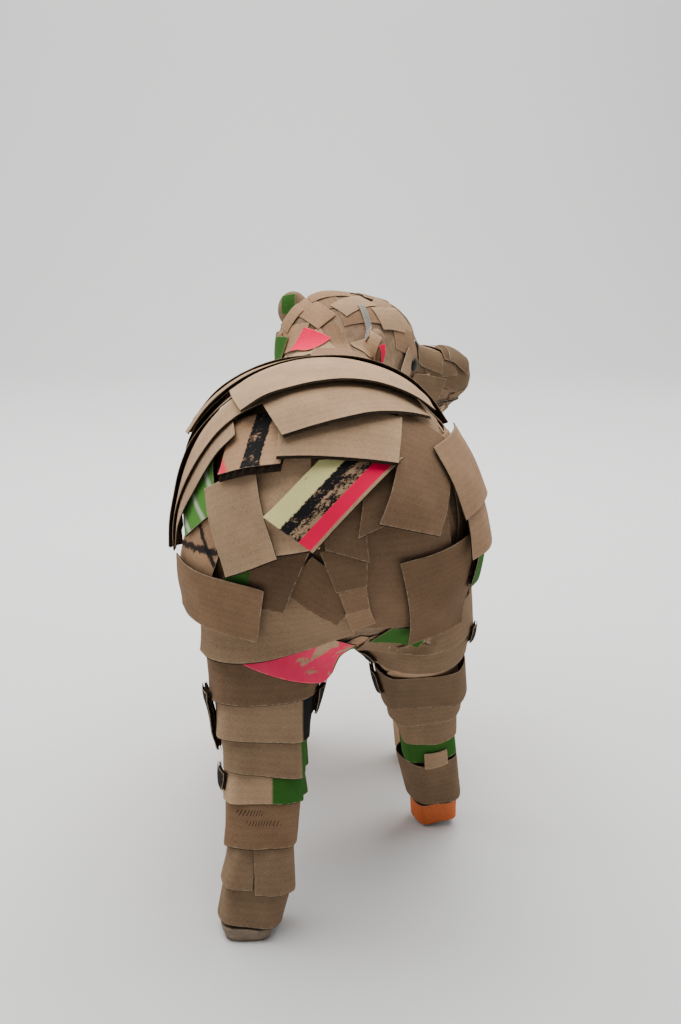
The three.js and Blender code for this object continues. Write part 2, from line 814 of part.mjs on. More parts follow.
    flare: { low: 1 },
  },
  { name: "flank_left_1", at: [74, 318], long: 96, wide: 34, turn: 72, ...FLANK },
  { name: "flank_left_2", at: [88, 328], long: 130, wide: 36, turn: 75, ...FLANK },
  { name: "flank_left_3", at: [118, 322], long: 124, wide: 36, turn: 102, ...FLANK },
  { name: "flank_left_4", at: [158, 312], long: 124, wide: 40, turn: 86, ...FLANK },
  {
    name: "shoulder_left",
    view: "left",
    at: [204, 270],
    long: 128,
    wide: 80,
    turn: 92,
    flare: { low: 1 },
    cell: 24,
  },
  {
    name: "side_right",
    view: "right",
    at: [166, 276],
    long: 112,
    wide: 92,
    turn: 92,
    flare: { high: 1 },
    cell: 22,
  },
  {
    name: "shoulder_right",
    view: "right",
    at: [244, 266],
    long: 120,
    wide: 78,
    turn: 90,
    flare: { high: 1 },
    cell: 24,
  },
  {
    name: "back_band_3",
    view: "above",
    at: [-8, 95],
    long: 136,
    wide: 72,
    turn: 9,
    bow: 4,
    flare: { low: 1.5 },
  },
  {
    name: "back_band_4",
    view: "above",
    at: [-18, 172],
    long: 210,
    wide: 80,
    turn: -1,
    flare: { low: 1.5 },
    cell: 19,
  },
  {
    name: "back_band_5",
    view: "above",
    at: [-14, 240],
    long: 200,
    wide: 74,
    turn: 2,
    flare: { low: 1.5 },
    cell: 24,
  },
];

// ---------------------------------------------------------------- assembly
const bear = new THREE.Group();
const COLOURS = {
  pulp: 0x7a6248,
  kraft: 0xa9845f,
  dark_kraft: 0x8a6848,
  green: 0x2e7d32,
  pink: 0xf0245f,
  orange: 0xd9622b,
  striped: 0xc9b873,
};

function addPiece(name, geometry, colour) {
  const material = new THREE.MeshStandardMaterial({ color: COLOURS[colour], roughness: 0.9, metalness: 0 });
  const mesh = new THREE.Mesh(geometry, material);
  mesh.name = name;
  geometry.computeBoundingBox();
  mesh.userData.solid = solidOf(geometry);
  bear.add(mesh);
  laid.push(mesh);
  return mesh;
}

// An ear is a shallow cup standing up from the side of the head and facing forward.
const EAR_RADII = [17, 8, 18];
const EAR_HOLLOW = [12, 8, 12.5];
const EAR_PLACE = vec(59, -18, 24);
const EAR_TURN = -0.35; // radians that the ear's opening is turned in
function ear(side) {
  const ball = (radii, y, z) => {
    return solidOf(new THREE.SphereGeometry(1, 14, 10).scale(...radii).translate(0, y, z));
  };
  const cup = ball(EAR_RADII, 0, 0).subtract(ball(EAR_HOLLOW, 6, 2));
  const place = new THREE.Matrix4()
    .makeRotationZ(side * EAR_TURN)
    .setPosition(side * EAR_PLACE.x, EAR_PLACE.y, EAR_PLACE.z)
    .premultiply(headFrame);
  return solidOf(geometryOf(cup).applyMatrix4(place));
}

const FORM_LOW = vec(-150, -30, -70);
const FORM_HIGH = vec(190, 540, 460);
const skin = solidOf(skinOf(formShape, FORM_LOW, FORM_HIGH, GRID_STEP));
const underFloor = solidOf(block(vec(-300, -200, -100), vec(300, 700, SOLE_HEIGHT + 0.4)));
const form = skin.add(ear(-1)).add(ear(1)).subtract(underFloor);
addPiece("papier_mache_form", geometryOf(form), "pulp");

// A sole is a rounded pad that narrows towards the floor. Each is this much from its middle to its side.
const SOLES = { left_hind: 19.5, right_hind: 15, left_fore: 22, right_fore: 22 };
const SOLE_TAPER = 3; // how much narrower a sole is at the floor, on each side

function sole({ x, y }, half) {
  const pad = new THREE.BoxGeometry(2, 2, 1, 4, 4, 1).translate(0, 0, 0.5);
  const place = pad.attributes.position;
  for (let i = 0; i < place.count; i++) {
    const side = place.getZ(i) > 0.5 ? half : half - SOLE_TAPER;
    const [u, v] = [place.getX(i), place.getY(i)];
    const square = Math.max(Math.abs(u), Math.abs(v)) / Math.max((u ** 4 + v ** 4) ** 0.25, 1e-6);
    place.setXYZ(i, x + u * side * square, y + v * side * square, place.getZ(i) * SOLE_HEIGHT);
  }
  return pad;
}
for (const [name, half] of Object.entries(SOLES)) {
  const [foot] = LEGS[name].at(-2);
  addPiece(`${name}_sole`, geometryOf(solidOf(sole(foot, half))), "dark_kraft");
}

for (const board of BOARDS) addPiece(board.name, boardGeometry(board), board.colour ?? "kraft");

// The origin goes to the floor, under the middle of everything.
const box = new THREE.Box3().setFromObject(bear);
const middle = box.getCenter(vec(0, 0, 0));
for (const piece of bear.children) piece.geometry.translate(-middle.x, -middle.y, 0);

export default bear;
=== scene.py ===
"""The looks of a papier-mache bear clad in scraps of corrugated board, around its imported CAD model.

Metres, +Z up, +Y the way the bear walks, +X its right side. A length in millimetres is multiplied by MM.
"""

import json
import math
import random
from functools import partial

import bmesh
import bpy
import numpy as np
from mathutils import Matrix, Vector
from mathutils.bvhtree import BVHTree


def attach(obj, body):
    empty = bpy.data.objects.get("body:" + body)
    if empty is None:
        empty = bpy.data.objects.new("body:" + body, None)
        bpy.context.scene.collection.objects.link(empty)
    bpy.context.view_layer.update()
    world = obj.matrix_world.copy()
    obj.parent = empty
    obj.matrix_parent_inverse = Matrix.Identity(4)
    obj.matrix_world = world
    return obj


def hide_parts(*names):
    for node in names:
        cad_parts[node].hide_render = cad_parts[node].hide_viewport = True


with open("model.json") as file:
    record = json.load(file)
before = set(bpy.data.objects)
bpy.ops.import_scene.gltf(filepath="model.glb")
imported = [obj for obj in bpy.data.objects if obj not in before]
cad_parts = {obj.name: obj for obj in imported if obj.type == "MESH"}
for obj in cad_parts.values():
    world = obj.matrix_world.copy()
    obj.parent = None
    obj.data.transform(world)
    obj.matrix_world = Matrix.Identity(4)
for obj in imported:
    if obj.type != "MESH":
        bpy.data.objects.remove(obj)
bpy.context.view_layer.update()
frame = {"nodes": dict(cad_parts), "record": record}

MM = 0.001
FORM = "papier_mache_form"
TONES = random.Random(7)


def add_object(name, data):
    """A new object in the scene."""
    thing = bpy.data.objects.new(name, data)
    bpy.context.scene.collection.objects.link(thing)
    return thing


def declare(piece, slot, node=None):
    """Hides the CAD node that a piece stands for, if one is given, and makes the piece ride on the root;
    slot, what the piece is made of, is not used.
    """
    if node:
        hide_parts(node)
    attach(piece, "root")


def slot_of(node):
    return next(s["material_slot"] for s in frame["record"]["subparts"] if s["node"] == node)


def welded(mesh):
    """A mesh as a bmesh whose faces share their corners."""
    form = bmesh.new()
    form.from_mesh(mesh)
    bmesh.ops.remove_doubles(form, verts=form.verts, dist=0.01 * MM)
    return form


def dress_smoothly(name, node, material, rounds, crease=0.0):
    """A piece that stands for a CAD node and smooths its facets away, less so at edges that get a crease."""
    mesh = frame["nodes"][node].data.copy()
    form = welded(mesh)
    if crease:
        creases = form.edges.layers.float.get("crease_edge") or form.edges.layers.float.new("crease_edge")
        for edge in form.edges:
            if edge.calc_face_angle(0) > SHARP:
                edge[creases] = crease
    form.to_mesh(mesh)
    form.free()
    piece = add_object(name, mesh)
    smooth = piece.modifiers.new("smooth", "SUBSURF")
    smooth.levels = smooth.render_levels = rounds
    mesh.materials.clear()
    mesh.materials.append(MATERIALS[material])
    mesh.shade_smooth()
    declare(piece, slot_of(node), node)
    return piece


# ---- camera, light and floor
CAMERA_PLACE = (-0.0633, -1.1348, 0.552)
CAMERA_TURN = math.radians(-3)
CAMERA_DIP = math.radians(15)
LENS = 50


def make_camera():
    camera = add_object("camera", bpy.data.cameras.new("camera"))
    camera.data.lens = LENS
    camera.location = CAMERA_PLACE
    camera.rotation_euler = (math.pi / 2 - CAMERA_DIP, 0, CAMERA_TURN)
    bpy.context.scene.camera = camera


def area_light(name, place, aim, size, power, colour=(1, 1, 1)):
    light = bpy.data.lights.new(name, "AREA")
    light.shape = "DISK"
    light.size = size
    light.energy = power
    light.color = colour
    lamp = add_object(name, light)
    lamp.location = place
    lamp.rotation_euler = (Vector(aim) - Vector(place)).to_track_quat("-Z", "Y").to_euler()


def make_light():
    world = bpy.data.worlds.new("studio")
    world.use_nodes = True
    background = world.node_tree.nodes["Background"]
    background.inputs["Color"].default_value = (0.93, 0.96, 1.0, 1)
    background.inputs["Strength"].default_value = 0.26
    bpy.context.scene.world = world
    middle = (0, 0, 0.2)
    area_light("overhead", (-0.1, 0.3, 2.1), middle, 3.0, 96, (1.0, 0.985, 0.96))
    area_light("window_left", (-2.2, 0.5, 1.0), middle, 1.4, 12, (0.95, 0.98, 1.0))
    area_light("window_right", (2.2, 0.8, 0.9), middle, 1.4, 12, (0.95, 0.98, 1.0))
    area_light("wall_wash", (0, 1.0, 2.4), (0, 3.0, 0.9), 1.8, 48)


def make_floor():
    """A floor that sweeps up into a plain wall behind the bear."""
    half, front, depth, bend, height, steps = 4.0, -3.0, 2.2, 0.8, 3.0, 16
    profile = [(front, 0.0)]
    for k in range(steps + 1):
        angle = math.pi / 2 * k / steps
        profile.append((depth + bend * math.sin(angle), bend * (1 - math.cos(angle))))
    profile.append((depth + bend, height))
    vertices = [(x, y, z) for y, z in profile for x in (-half, half)]
    faces = [(2 * k, 2 * k + 1, 2 * k + 3, 2 * k + 2) for k in range(len(profile) - 1)]
    mesh = bpy.data.meshes.new("sweep")
    mesh.from_pydata(vertices, [], faces)
    mesh.shade_smooth()
    graph = Graph("sweep", roughness=0.7)
    graph.put("Base Color", (0.78, 0.78, 0.775))
    mesh.materials.append(graph.material)
    add_object("sweep", mesh)


# ---- materials
NOISE_LOW, NOISE_HIGH = 0.3, 0.7  # nearly all of a noise texture's values lie between these


class Graph:
    """A material's node graph, with short ways to add to it. Colours are given as red, green and blue."""

    def __init__(self, name, roughness=0.9, specular=0.08):
        self.material = bpy.data.materials.new(name)
        self.material.use_nodes = True
        self.nodes = self.material.node_tree.nodes
        self.links = self.material.node_tree.links
        self.shader = self.nodes["Principled BSDF"]
        self.put("Roughness", roughness)
        self.put("Specular IOR Level", specular)

    def put(self, socket, value):
        """Sets one of the shader's inputs, or links something to it."""
        self.fill(self.shader.inputs[socket], value)

    def fill(self, socket, value):
        if isinstance(value, bpy.types.NodeSocket):
            self.links.new(value, socket)
        elif socket.type == "RGBA":
            socket.default_value = (*value, 1)
        else:
            socket.default_value = value

    def node(self, kind, inputs=(), **settings):
        node = self.nodes.new("ShaderNode" + kind)
        for key, value in settings.items():
            setattr(node, key, value)
        for key, value in dict(inputs).items():
            self.fill(node.inputs[key], value)
        return node

    def math(self, operation, *values):
        return self.node("Math", dict(enumerate(values)), operation=operation).outputs[0]

    def plus(self, first, second):
        return self.math("ADD", first, second)

    def minus(self, first, second):
        return self.math("SUBTRACT", first, second)

    def times(self, first, second):
        return self.math("MULTIPLY", first, second)

    def stretched(self, vector, scale):
        return self.node("VectorMath", {0: vector, 1: scale}, operation="MULTIPLY").outputs[0]

    def noise(self, vector, scale, detail=3.0, roughness=0.55, warp=0.0):
        inputs = {"Vector": vector, "Scale": scale, "Detail": detail}
        return self.node("TexNoise", {**inputs, "Roughness": roughness, "Distortion": warp}).outputs["Fac"]

    def between(self, value, low, high, to_low=0.0, to_high=1.0):
        """Maps low..high to to_low..to_high, smoothly."""
        inputs = {"Value": value, "From Min": low, "From Max": high, "To Min": to_low, "To Max": to_high}
        return self.node("MapRange", inputs, interpolation_type="SMOOTHSTEP").outputs[0]

    def spread(self, noise, to_low, to_high):
        """Maps the values of a noise to to_low..to_high."""
        return self.between(noise, NOISE_LOW, NOISE_HIGH, to_low, to_high)

    def swing(self, noise, size):
        """Turns a noise into a shift to either side of nothing."""
        return self.times(self.minus(noise, 0.5), size)

    def mix(self, share, first, second, blend="MIX"):
        node = self.node("Mix", data_type="RGBA", blend_type=blend)
        self.fill(node.inputs[0], share)
        self.fill(node.inputs[6], first)
        self.fill(node.inputs[7], second)
        return node.outputs[2]

    def lit(self, colour, brightness):
        """The colour, made brighter or darker by a factor."""
        grey = self.node("CombineColor", {0: brightness, 1: brightness, 2: brightness}).outputs[0]
        return self.mix(1.0, colour, grey, "MULTIPLY")

    def strip(self, value, low, high, soft=0.02):
        """1 where the value lies between low and high."""
        rise = self.between(value, low - soft, low + soft)
        fall = self.between(value, high - soft, high + soft, 1.0, 0.0)
        return self.times(rise, fall)

    def object_place(self):
        return self.node("TexCoord").outputs["Object"]

    def bump(self, height, distance, strength):
        bump = self.node("Bump", {"Height": height, "Distance": distance, "Strength": strength})
        self.put("Normal", bump.outputs[0])


KRAFT = (0.44, 0.285, 0.170)
DARK_KRAFT = (0.30, 0.180, 0.105)
RED_KRAFT = (0.44, 0.262, 0.148)
# a redder brown for boards at the rump, tail and seat; with their low tones it is partly their own colour
# and partly painted shade
RICH_KRAFT = (0.48, 0.292, 0.172)
RUBBED_KRAFT = (0.62, 0.48, 0.34)
CUT_KRAFT = (0.40, 0.30, 0.20)
# the insides and undersides of boards: brown paper drawn near-black as painted shade
INSIDE_SHADE = (0.035, 0.024, 0.017)
PULP = (0.235, 0.155, 0.098)
SOLE_PULP = (0.225, 0.172, 0.125)
GREEN = (0.036, 0.120, 0.020)
BRIGHT_GREEN = (0.10, 0.27, 0.05)
PINK = (0.90, 0.0, 0.075)
PALE_PINK = (0.80, 0.09, 0.17)
YELLOW = (0.80, 0.73, 0.31)
ORANGE = (0.63, 0.155, 0.052)
GREY = (0.42, 0.40, 0.36)
BLACK = (0.016, 0.015, 0.016)
EYE_BLACK = (0.022, 0.019, 0.018)
CHALK = (0.62, 0.62, 0.50)
RIB_PITCH = 5.2 * MM


class Sheet:
    """What a material knows about a place on a board: along and across in metres and as shares of its size.

    rim is how far the nearest edge is, in millimetres. tone is how light the board is drawn: its own
    lightness, and for the boards at the back and underneath also painted shade.
    """

    def __init__(self, graph):
        self.place = graph.node("Attribute", attribute_name="cut").outputs["Vector"]
        self.along, self.across = graph.node("SeparateXYZ", {0: self.place}).outputs[:2]
        share = graph.node("Attribute", attribute_name="share").outputs["Vector"]
        self.u, self.v, self.rim = graph.node("SeparateXYZ", {0: share}).outputs[:3]
        self.tone = graph.node("Attribute", attribute_name="tone").outputs["Fac"]


def kraft_colour(graph, sheet, base):
    """Brown liner paper: long fibres, specks, cloudy patches, and the faint ribs of the flutes beneath,
    whose relief is also painted into the colour as light and shade.
    """
    fibres = graph.noise(graph.stretched(sheet.place, (480, 1500, 900)), 1.0, 4.0, 0.6)
    cloud = graph.noise(sheet.place, 34.0, 3.0, 0.6)
    specks = graph.noise(sheet.place, 1150.0, 1.0, 0.5)
    ribs = graph.math("SINE", graph.times(sheet.across, 2 * math.pi / RIB_PITCH))
    brightness = graph.plus(graph.spread(fibres, 0.84, 1.14), graph.spread(cloud, -0.1, 0.1))
    # the ribs make the colour a little lighter and darker across the board: painted shading of their relief
    brightness = graph.plus(brightness, graph.times(ribs, 0.03))
    # tone: the board's own lightness, with painted shade for the boards at the back and underneath
    colour = graph.lit(base, graph.times(brightness, sheet.tone))
    colour = graph.mix(graph.between(specks, 0.67, 0.74, 0.0, 0.55), colour, [c * 0.45 for c in base])
    return colour, fibres, ribs


def finish_board(graph, sheet, colour, fibres, ribs):
    """Rubbed, paler edges and the paper's relief."""
    worn = graph.noise(sheet.place, 260.0, 2.0, 0.6)
    edge = graph.plus(sheet.rim, graph.spread(worn, -0.4, 0.4))
    pale = graph.mix(0.5, colour, RUBBED_KRAFT)
    graph.put("Base Color", graph.mix(graph.between(edge, 0.55, 0.1, 0.0, 0.6), colour, pale))
    graph.bump(graph.plus(graph.times(fibres, 0.35), graph.times(ribs, 0.16)), 0.14 * MM, 0.4)


def board_material(name, base, paint=None, specular=0.08):
    """Board of one brown; paint(graph, sheet, colour, fibres) gives it what is printed on it."""
    graph = Graph(name, specular=specular)
    sheet = Sheet(graph)
    colour, fibres, ribs = kraft_colour(graph, sheet, base)
    if paint:
        colour = paint(graph, sheet, colour, fibres)
    finish_board(graph, sheet, colour, fibres, ribs)
    return graph.material


def ink(graph, paint, fibres):
    """Print that the paper's fibres show through."""
    return graph.lit(paint, graph.spread(fibres, 0.85, 1.12))


def painted(paint, graph, sheet, colour, fibres):
    """Print all over, a little worn so that the brown shows through in specks."""
    wear = graph.noise(sheet.place, 420.0, 4.0, 0.7)
    return graph.mix(graph.between(wear, 0.30, 0.36, 0.0, 0.99), colour, ink(graph, paint, fibres))


def painted_from(split, paint, graph, sheet, colour, fibres):
    """Plain up to a share of the board's length, and printed beyond it."""
    beyond = graph.between(sheet.u, split - 0.008, split + 0.008)
    return graph.mix(beyond, colour, ink(graph, paint, fibres))


def brushwork(graph, along, across, low, high, grain, cover):
    """A band of dry black brushwork between low and high across: bristle streaks that run out at its sides.

    grain is how close the bristles lie, and cover how much of the band is black.
    """
    streaks = graph.node("CombineXYZ", {0: graph.times(along, 24.0), 1: graph.times(across, grain)})
    streaks = streaks.outputs[0]
    bristle = graph.noise(streaks, 1.0, 6.0, 0.8, 0.5)
    patches = graph.noise(streaks, 0.2, 3.0, 0.6)
    middle, half = (low + high) / 2, (high - low) / 2
    away = graph.math("ABSOLUTE", graph.minus(across, middle))
    body = graph.between(away, half * 1.15, half * 0.7, -0.5, 0.0)
    dry = graph.plus(graph.plus(graph.times(bristle, 0.6), graph.times(patches, 0.4)), body)
    return graph.between(dry, 1.0 - cover - 0.02, 1.0 - cover + 0.02)


def ragged(graph, sheet, value):
    """The value, shifted to and fro so that what is painted by it gets a ragged edge."""
    return graph.plus(value, graph.swing(graph.noise(sheet.place, 420.0, 4.0, 0.75), 0.12))


def striped(graph, sheet, colour, fibres):
    """Pale yellow, rough black brushwork over brown, and pink, in stripes along the board."""
    across = ragged(graph, sheet, sheet.v)
    for low, high, cover in ((0.45, 0.73, 0.575), (0.26, 0.52, 0.505)):
        colour = graph.mix(brushwork(graph, sheet.u, across, low, high, 26.0, cover), colour, BLACK)
    worn = graph.between(graph.noise(graph.stretched(sheet.place, (60, 500, 1)), 1.0, 4.0), 0.30, 0.36)
    yellow = graph.times(graph.strip(across, 0.665, 2.0, 0.012), worn)
    colour = graph.mix(yellow, colour, graph.lit(YELLOW, graph.spread(fibres, 0.92, 1.08)))
    return graph.mix(graph.strip(sheet.v, 0.055, 0.29, 0.008), colour, PINK)


def brushed(graph, sheet, colour, fibres):
    """An upright stroke of dry black paint and a pink corner."""
    across = ragged(graph, sheet, sheet.u)
    colour = graph.mix(brushwork(graph, sheet.v, across, 0.38, 0.74, 34.0, 0.575), colour, BLACK)
    corner = graph.plus(graph.times(sheet.u, 1.6), sheet.v)
    corner = graph.plus(corner, graph.times(graph.noise(sheet.place, 120.0), 0.2))
    return graph.mix(graph.between(corner, 0.46, 0.30, 0.0, 0.85), colour, PINK)


def stroked(graph, sheet, colour, fibres):
    """Green all over, with pale slanting strokes."""
    colour = ink(graph, BRIGHT_GREEN, fibres)
    slant = graph.plus(sheet.v, graph.times(sheet.u, 2.4))
    rough = graph.noise(graph.stretched(sheet.place, (90, 700, 1)), 1.0, 4.0, 0.7)
    slant = graph.plus(slant, graph.swing(rough, 0.06))
    beat = graph.math("FRACT", graph.times(slant, 0.95))
    return graph.mix(graph.times(graph.strip(beat, 0.25, 0.45, 0.08), 0.75), colour, CHALK)


def lined(graph, sheet, colour, fibres):
    """A few loose black lines, each with its slope, where it starts and half its width."""
    rough = graph.noise(sheet.place, 160.0, 4.0, 0.7)
    for slope, start, half in ((1.1, 0.55, 0.07), (-0.5, 0.95, 0.05), (0.35, 0.30, 0.05)):
        line = graph.plus(graph.minus(sheet.v, graph.times(sheet.u, slope)), graph.swing(rough, 0.18))
        colour = graph.mix(graph.times(graph.strip(line, start - half, start + half), 0.95), colour, BLACK)
    return colour


def blotched(graph, sheet, colour, fibres):
    """Neon pink in blotches, with brown between them, and a green end."""
    blots = graph.noise(sheet.place, 48.0, 3.0, 0.5, 0.8)
    blots = graph.plus(blots, graph.between(sheet.u, 0.35, 0.75, 0.17, 0.0))
    pale = graph.mix(graph.noise(sheet.place, 60.0), PINK, PALE_PINK)
    colour = graph.mix(graph.between(blots, 0.45, 0.51), colour, pale)
    return graph.mix(graph.between(sheet.u, 0.965, 0.975), colour, GREEN)


def marked(graph, sheet, colour, fibres):
    """Two short rows of slanted pen strokes: where each is, half its height, its start and its end."""
    lean = graph.minus(sheet.along, graph.times(sheet.across, 0.45))
    beat = graph.math("FRACT", graph.math("DIVIDE", lean, 2.3 * MM))
    beat = graph.math("ABSOLUTE", graph.minus(beat, 0.5))
    for height, half, start, end in ((0.70, 0.06, 0.40, 0.52), (0.50, 0.05, 0.44, 0.60)):
        row = graph.strip(sheet.v, height - half, height + half, 0.01)
        stroke = graph.times(graph.between(beat, 0.16, 0.08), row)
        stroke = graph.times(stroke, graph.strip(sheet.u, start, end, 0.005))
        colour = graph.mix(stroke, colour, BLACK)
    return colour


def fading(graph, sheet, colour, fibres):
    """Green print that fades out from one end."""
    reach = graph.plus(sheet.u, graph.spread(graph.noise(sheet.place, 130.0, 4.0, 0.7), -0.12, 0.12))
    reach = graph.plus(reach, graph.times(sheet.v, 0.25))
    return graph.mix(graph.between(reach, 0.52, 0.40), colour, GREEN)


def grained(name, colour, scale, shades, specular, gloss=None):
    """A rough surface of fine grain, or a glossy one where gloss gives its least and most roughness."""
    graph = Graph(name, roughness=0.95, specular=specular)
    grain = graph.noise(graph.object_place(), scale, 3.0, 0.6)
    graph.put("Base Color", graph.lit(colour, graph.spread(grain, *shades)))
    if gloss:
        graph.put("Roughness", graph.spread(grain, *gloss))
    else:
        graph.bump(grain, 0.3 * MM, 0.6)
    return graph.material


def pulp(name, base):
    """Dried papier-mache: torn strips of brown paper pressed flat, with their edges just showing."""
    graph = Graph(name, roughness=0.92)
    place = graph.object_place()
    wrinkle = graph.noise(place, 160.0, 5.0, 0.65)
    strips = graph.node("TexVoronoi", {"Vector": graph.stretched(place, (30, 30, 75)), "Scale": 1.0})
    tone = graph.node("SeparateColor", {0: strips.outputs["Color"]}).outputs[0]
    brightness = graph.plus(graph.spread(wrinkle, 0.75, 1.1), graph.times(tone, 0.2))
    graph.put("Base Color", graph.lit(base, brightness))
    graph.bump(wrinkle, 0.8 * MM, 0.7)
    return graph.material


# ---- building meshes
def quads_of(index):
    """The four-cornered faces of a grid of vertex numbers."""
    return np.stack([index[:-1, :-1], index[:-1, 1:], index[1:, 1:], index[1:, :-1]], -1).reshape(-1, 4)


def ring_of(index):
    """The vertex numbers round the border of a grid."""
    return np.concatenate([index[0, :-1], index[:-1, -1], index[-1, :0:-1], index[:0:-1, 0]])


class Builder:
    """Gathers closed shells into one mesh, with the coordinates that the materials read."""

    def __init__(self):
        self.positions, self.cuts, self.shares = [], [], []
        self.faces, self.slots, self.tones = [], [], []

    def shell(self, position, cut, share, slots, tone=1.0):
        """A closed slab from grids shaped (2, rows, columns, 3): side 0 inner, side 1 outer.

        slots are the material slots of the inner face, the outer face and the rim.
        """
        _, rows, columns, _ = position.shape
        start = sum(len(p) for p in self.positions)
        inner, outer = start + np.arange(2 * rows * columns).reshape(2, rows, columns)
        low, high = ring_of(inner), ring_of(outer)
        walls = np.stack([low, np.roll(low, -1), np.roll(high, -1), high], -1)
        for slot, faces in zip(slots, (quads_of(inner)[:, ::-1], quads_of(outer), walls)):
            self.faces.append(faces)
            self.slots.append(np.full(len(faces), slot))
        for kept, grid in ((self.positions, position), (self.cuts, cut), (self.shares, share)):
            kept.append(grid.reshape(-1, 3))
        self.tones.append(np.full(position.size // 3, tone, np.float32))

    def make(self, name, materials):
        positions = np.concatenate(self.positions)
        faces = np.concatenate(self.faces)
        mesh = bpy.data.meshes.new(name)
        mesh.from_pydata(positions.tolist(), [], faces.tolist())
        mesh.polygons.foreach_set("material_index", np.concatenate(self.slots).astype(np.int32))
        for label, rows in (("cut", self.cuts), ("share", self.shares)):
            layer = mesh.attributes.new(label, "FLOAT_VECTOR", "POINT")
            layer.data.foreach_set("vector", np.concatenate(rows).astype(np.float32).ravel())
        layer = mesh.attributes.new("tone", "FLOAT", "POINT")
        layer.data.foreach_set("value", np.concatenate(self.tones))
        for material in materials:
            mesh.materials.append(material)
        mesh.shade_smooth()
        return add_object(name, mesh)


def cubic(grid, places, axis):
    """The grid's values at fractional places along an axis, on smooth curves through its points."""
    grid = np.moveaxis(grid, axis, 0)
    last = len(grid) - 1
    if last == 0:
        return np.moveaxis(np.repeat(grid, len(places), 0), 0, axis)
    padded = np.concatenate([2 * grid[:1] - grid[1:2], grid, 2 * grid[-1:] - grid[-2:-1]])
    first = np.clip(np.floor(places).astype(int), 0, last - 1)
    t = (places - first).reshape((-1,) + (1,) * (grid.ndim - 1))
    a, b, c, d = (padded[first + k] for k in range(4))
    curve = 0.5 * (2 * b + (c - a) * t + (2 * a - 5 * b + 4 * c - d) * t**2 + (3 * b - a - 3 * c + d) * t**3)
    return np.moveaxis(curve, 0, axis)


LINER = 0.45 * MM
CURL_REACH = 14 * MM  # how far in from its edge a board is lifted
CRUSH_REACH = 2.5 * MM  # how far in from its edges a board is pressed thin
CRUSH = 0.12  # and by how much of its thickness
EDGE_PLACES = np.array([0.5, 1.3]) * MM


def edge_distance(u, v, board):
    """How far a place on a board is from its nearest edge."""
    return np.minimum(np.minimum(u, 1 - u) * board.long, np.minimum(v, 1 - v) * board.wide)


class Board:
    """A bent board, as grids of points on its inner and its outer face. u is along and v across it."""

    def __init__(self, inner, outer, thickest=None, lifts=()):
        if thickest:
            gap = np.linalg.norm(outer - inner, axis=-1, keepdims=True)
            inner = outer - (outer - inner) * np.minimum(1, thickest / gap)
        self.inner, self.outer = inner, outer
        self.lifts = dict(lifts)
        self.rows, self.columns = inner.shape[:2]
        middle = (inner + outer) / 2
        self.long = np.linalg.norm(np.diff(middle, axis=1), axis=-1).sum(1).mean()
        self.wide = np.linalg.norm(np.diff(middle, axis=0), axis=-1).sum(0).mean()
        self.thick = np.linalg.norm(outer - inner, axis=-1).mean()

    def at(self, us, vs, depth):
        """Points at each u and v, at a depth from 0, the inner face, to 1, the outer one."""
        faces = []
        for grid in (self.inner, self.outer):
            grid = cubic(grid, vs * (self.rows - 1), 0)
            faces.append(cubic(grid, us * (self.columns - 1), 1))
        up = faces[1] - faces[0]
        away = up / np.linalg.norm(up, axis=-1, keepdims=True)
        return faces[0] + depth[..., None] * up + self.lift(*np.meshgrid(us, vs))[..., None] * away

    def lift(self, u, v):
        """How far the board curls up at its edges."""
        shares = {"low": v * self.wide, "start": u * self.long, "end": (1 - u) * self.long}
        lift = np.zeros_like(u)
        for edge, rise in self.lifts.items():
            lift = lift + rise * MM * np.clip(1 - shares[edge] / CURL_REACH, 0, 1) ** 2
        return lift


def places_along(length, step):
    """Shares from 0 to 1 about `step` apart, with a narrow strip at each end for the pressed cut edge."""
    inside = even_places(length, step)
    close = EDGE_PLACES / length
    margin = close[-1] * 1.4
    inside = inside[(inside > margin) & (inside < 1 - margin)]
    return np.unique(np.concatenate([[0], close, inside, 1 - close, [1]]))


def even_places(length, step):
    return np.linspace(0, 1, max(2, round(length / step) + 1))


def add_sheet(builder, board, us, vs, lower, upper, slots, tone=1.0):
    """One closed sheet of paper in the board, between two depths that are functions of u and v."""
    u, v = np.meshgrid(us, vs)
    position = np.stack([board.at(us, vs, lower(u, v)), board.at(us, vs, upper(u, v))])
    cut = np.stack([u * board.long, v * board.wide, np.zeros_like(u)], -1)
    share = np.stack([u, v, edge_distance(u, v, board) / MM], -1)
    builder.shell(position, np.stack([cut, cut]), np.stack([share, share]), slots, tone)


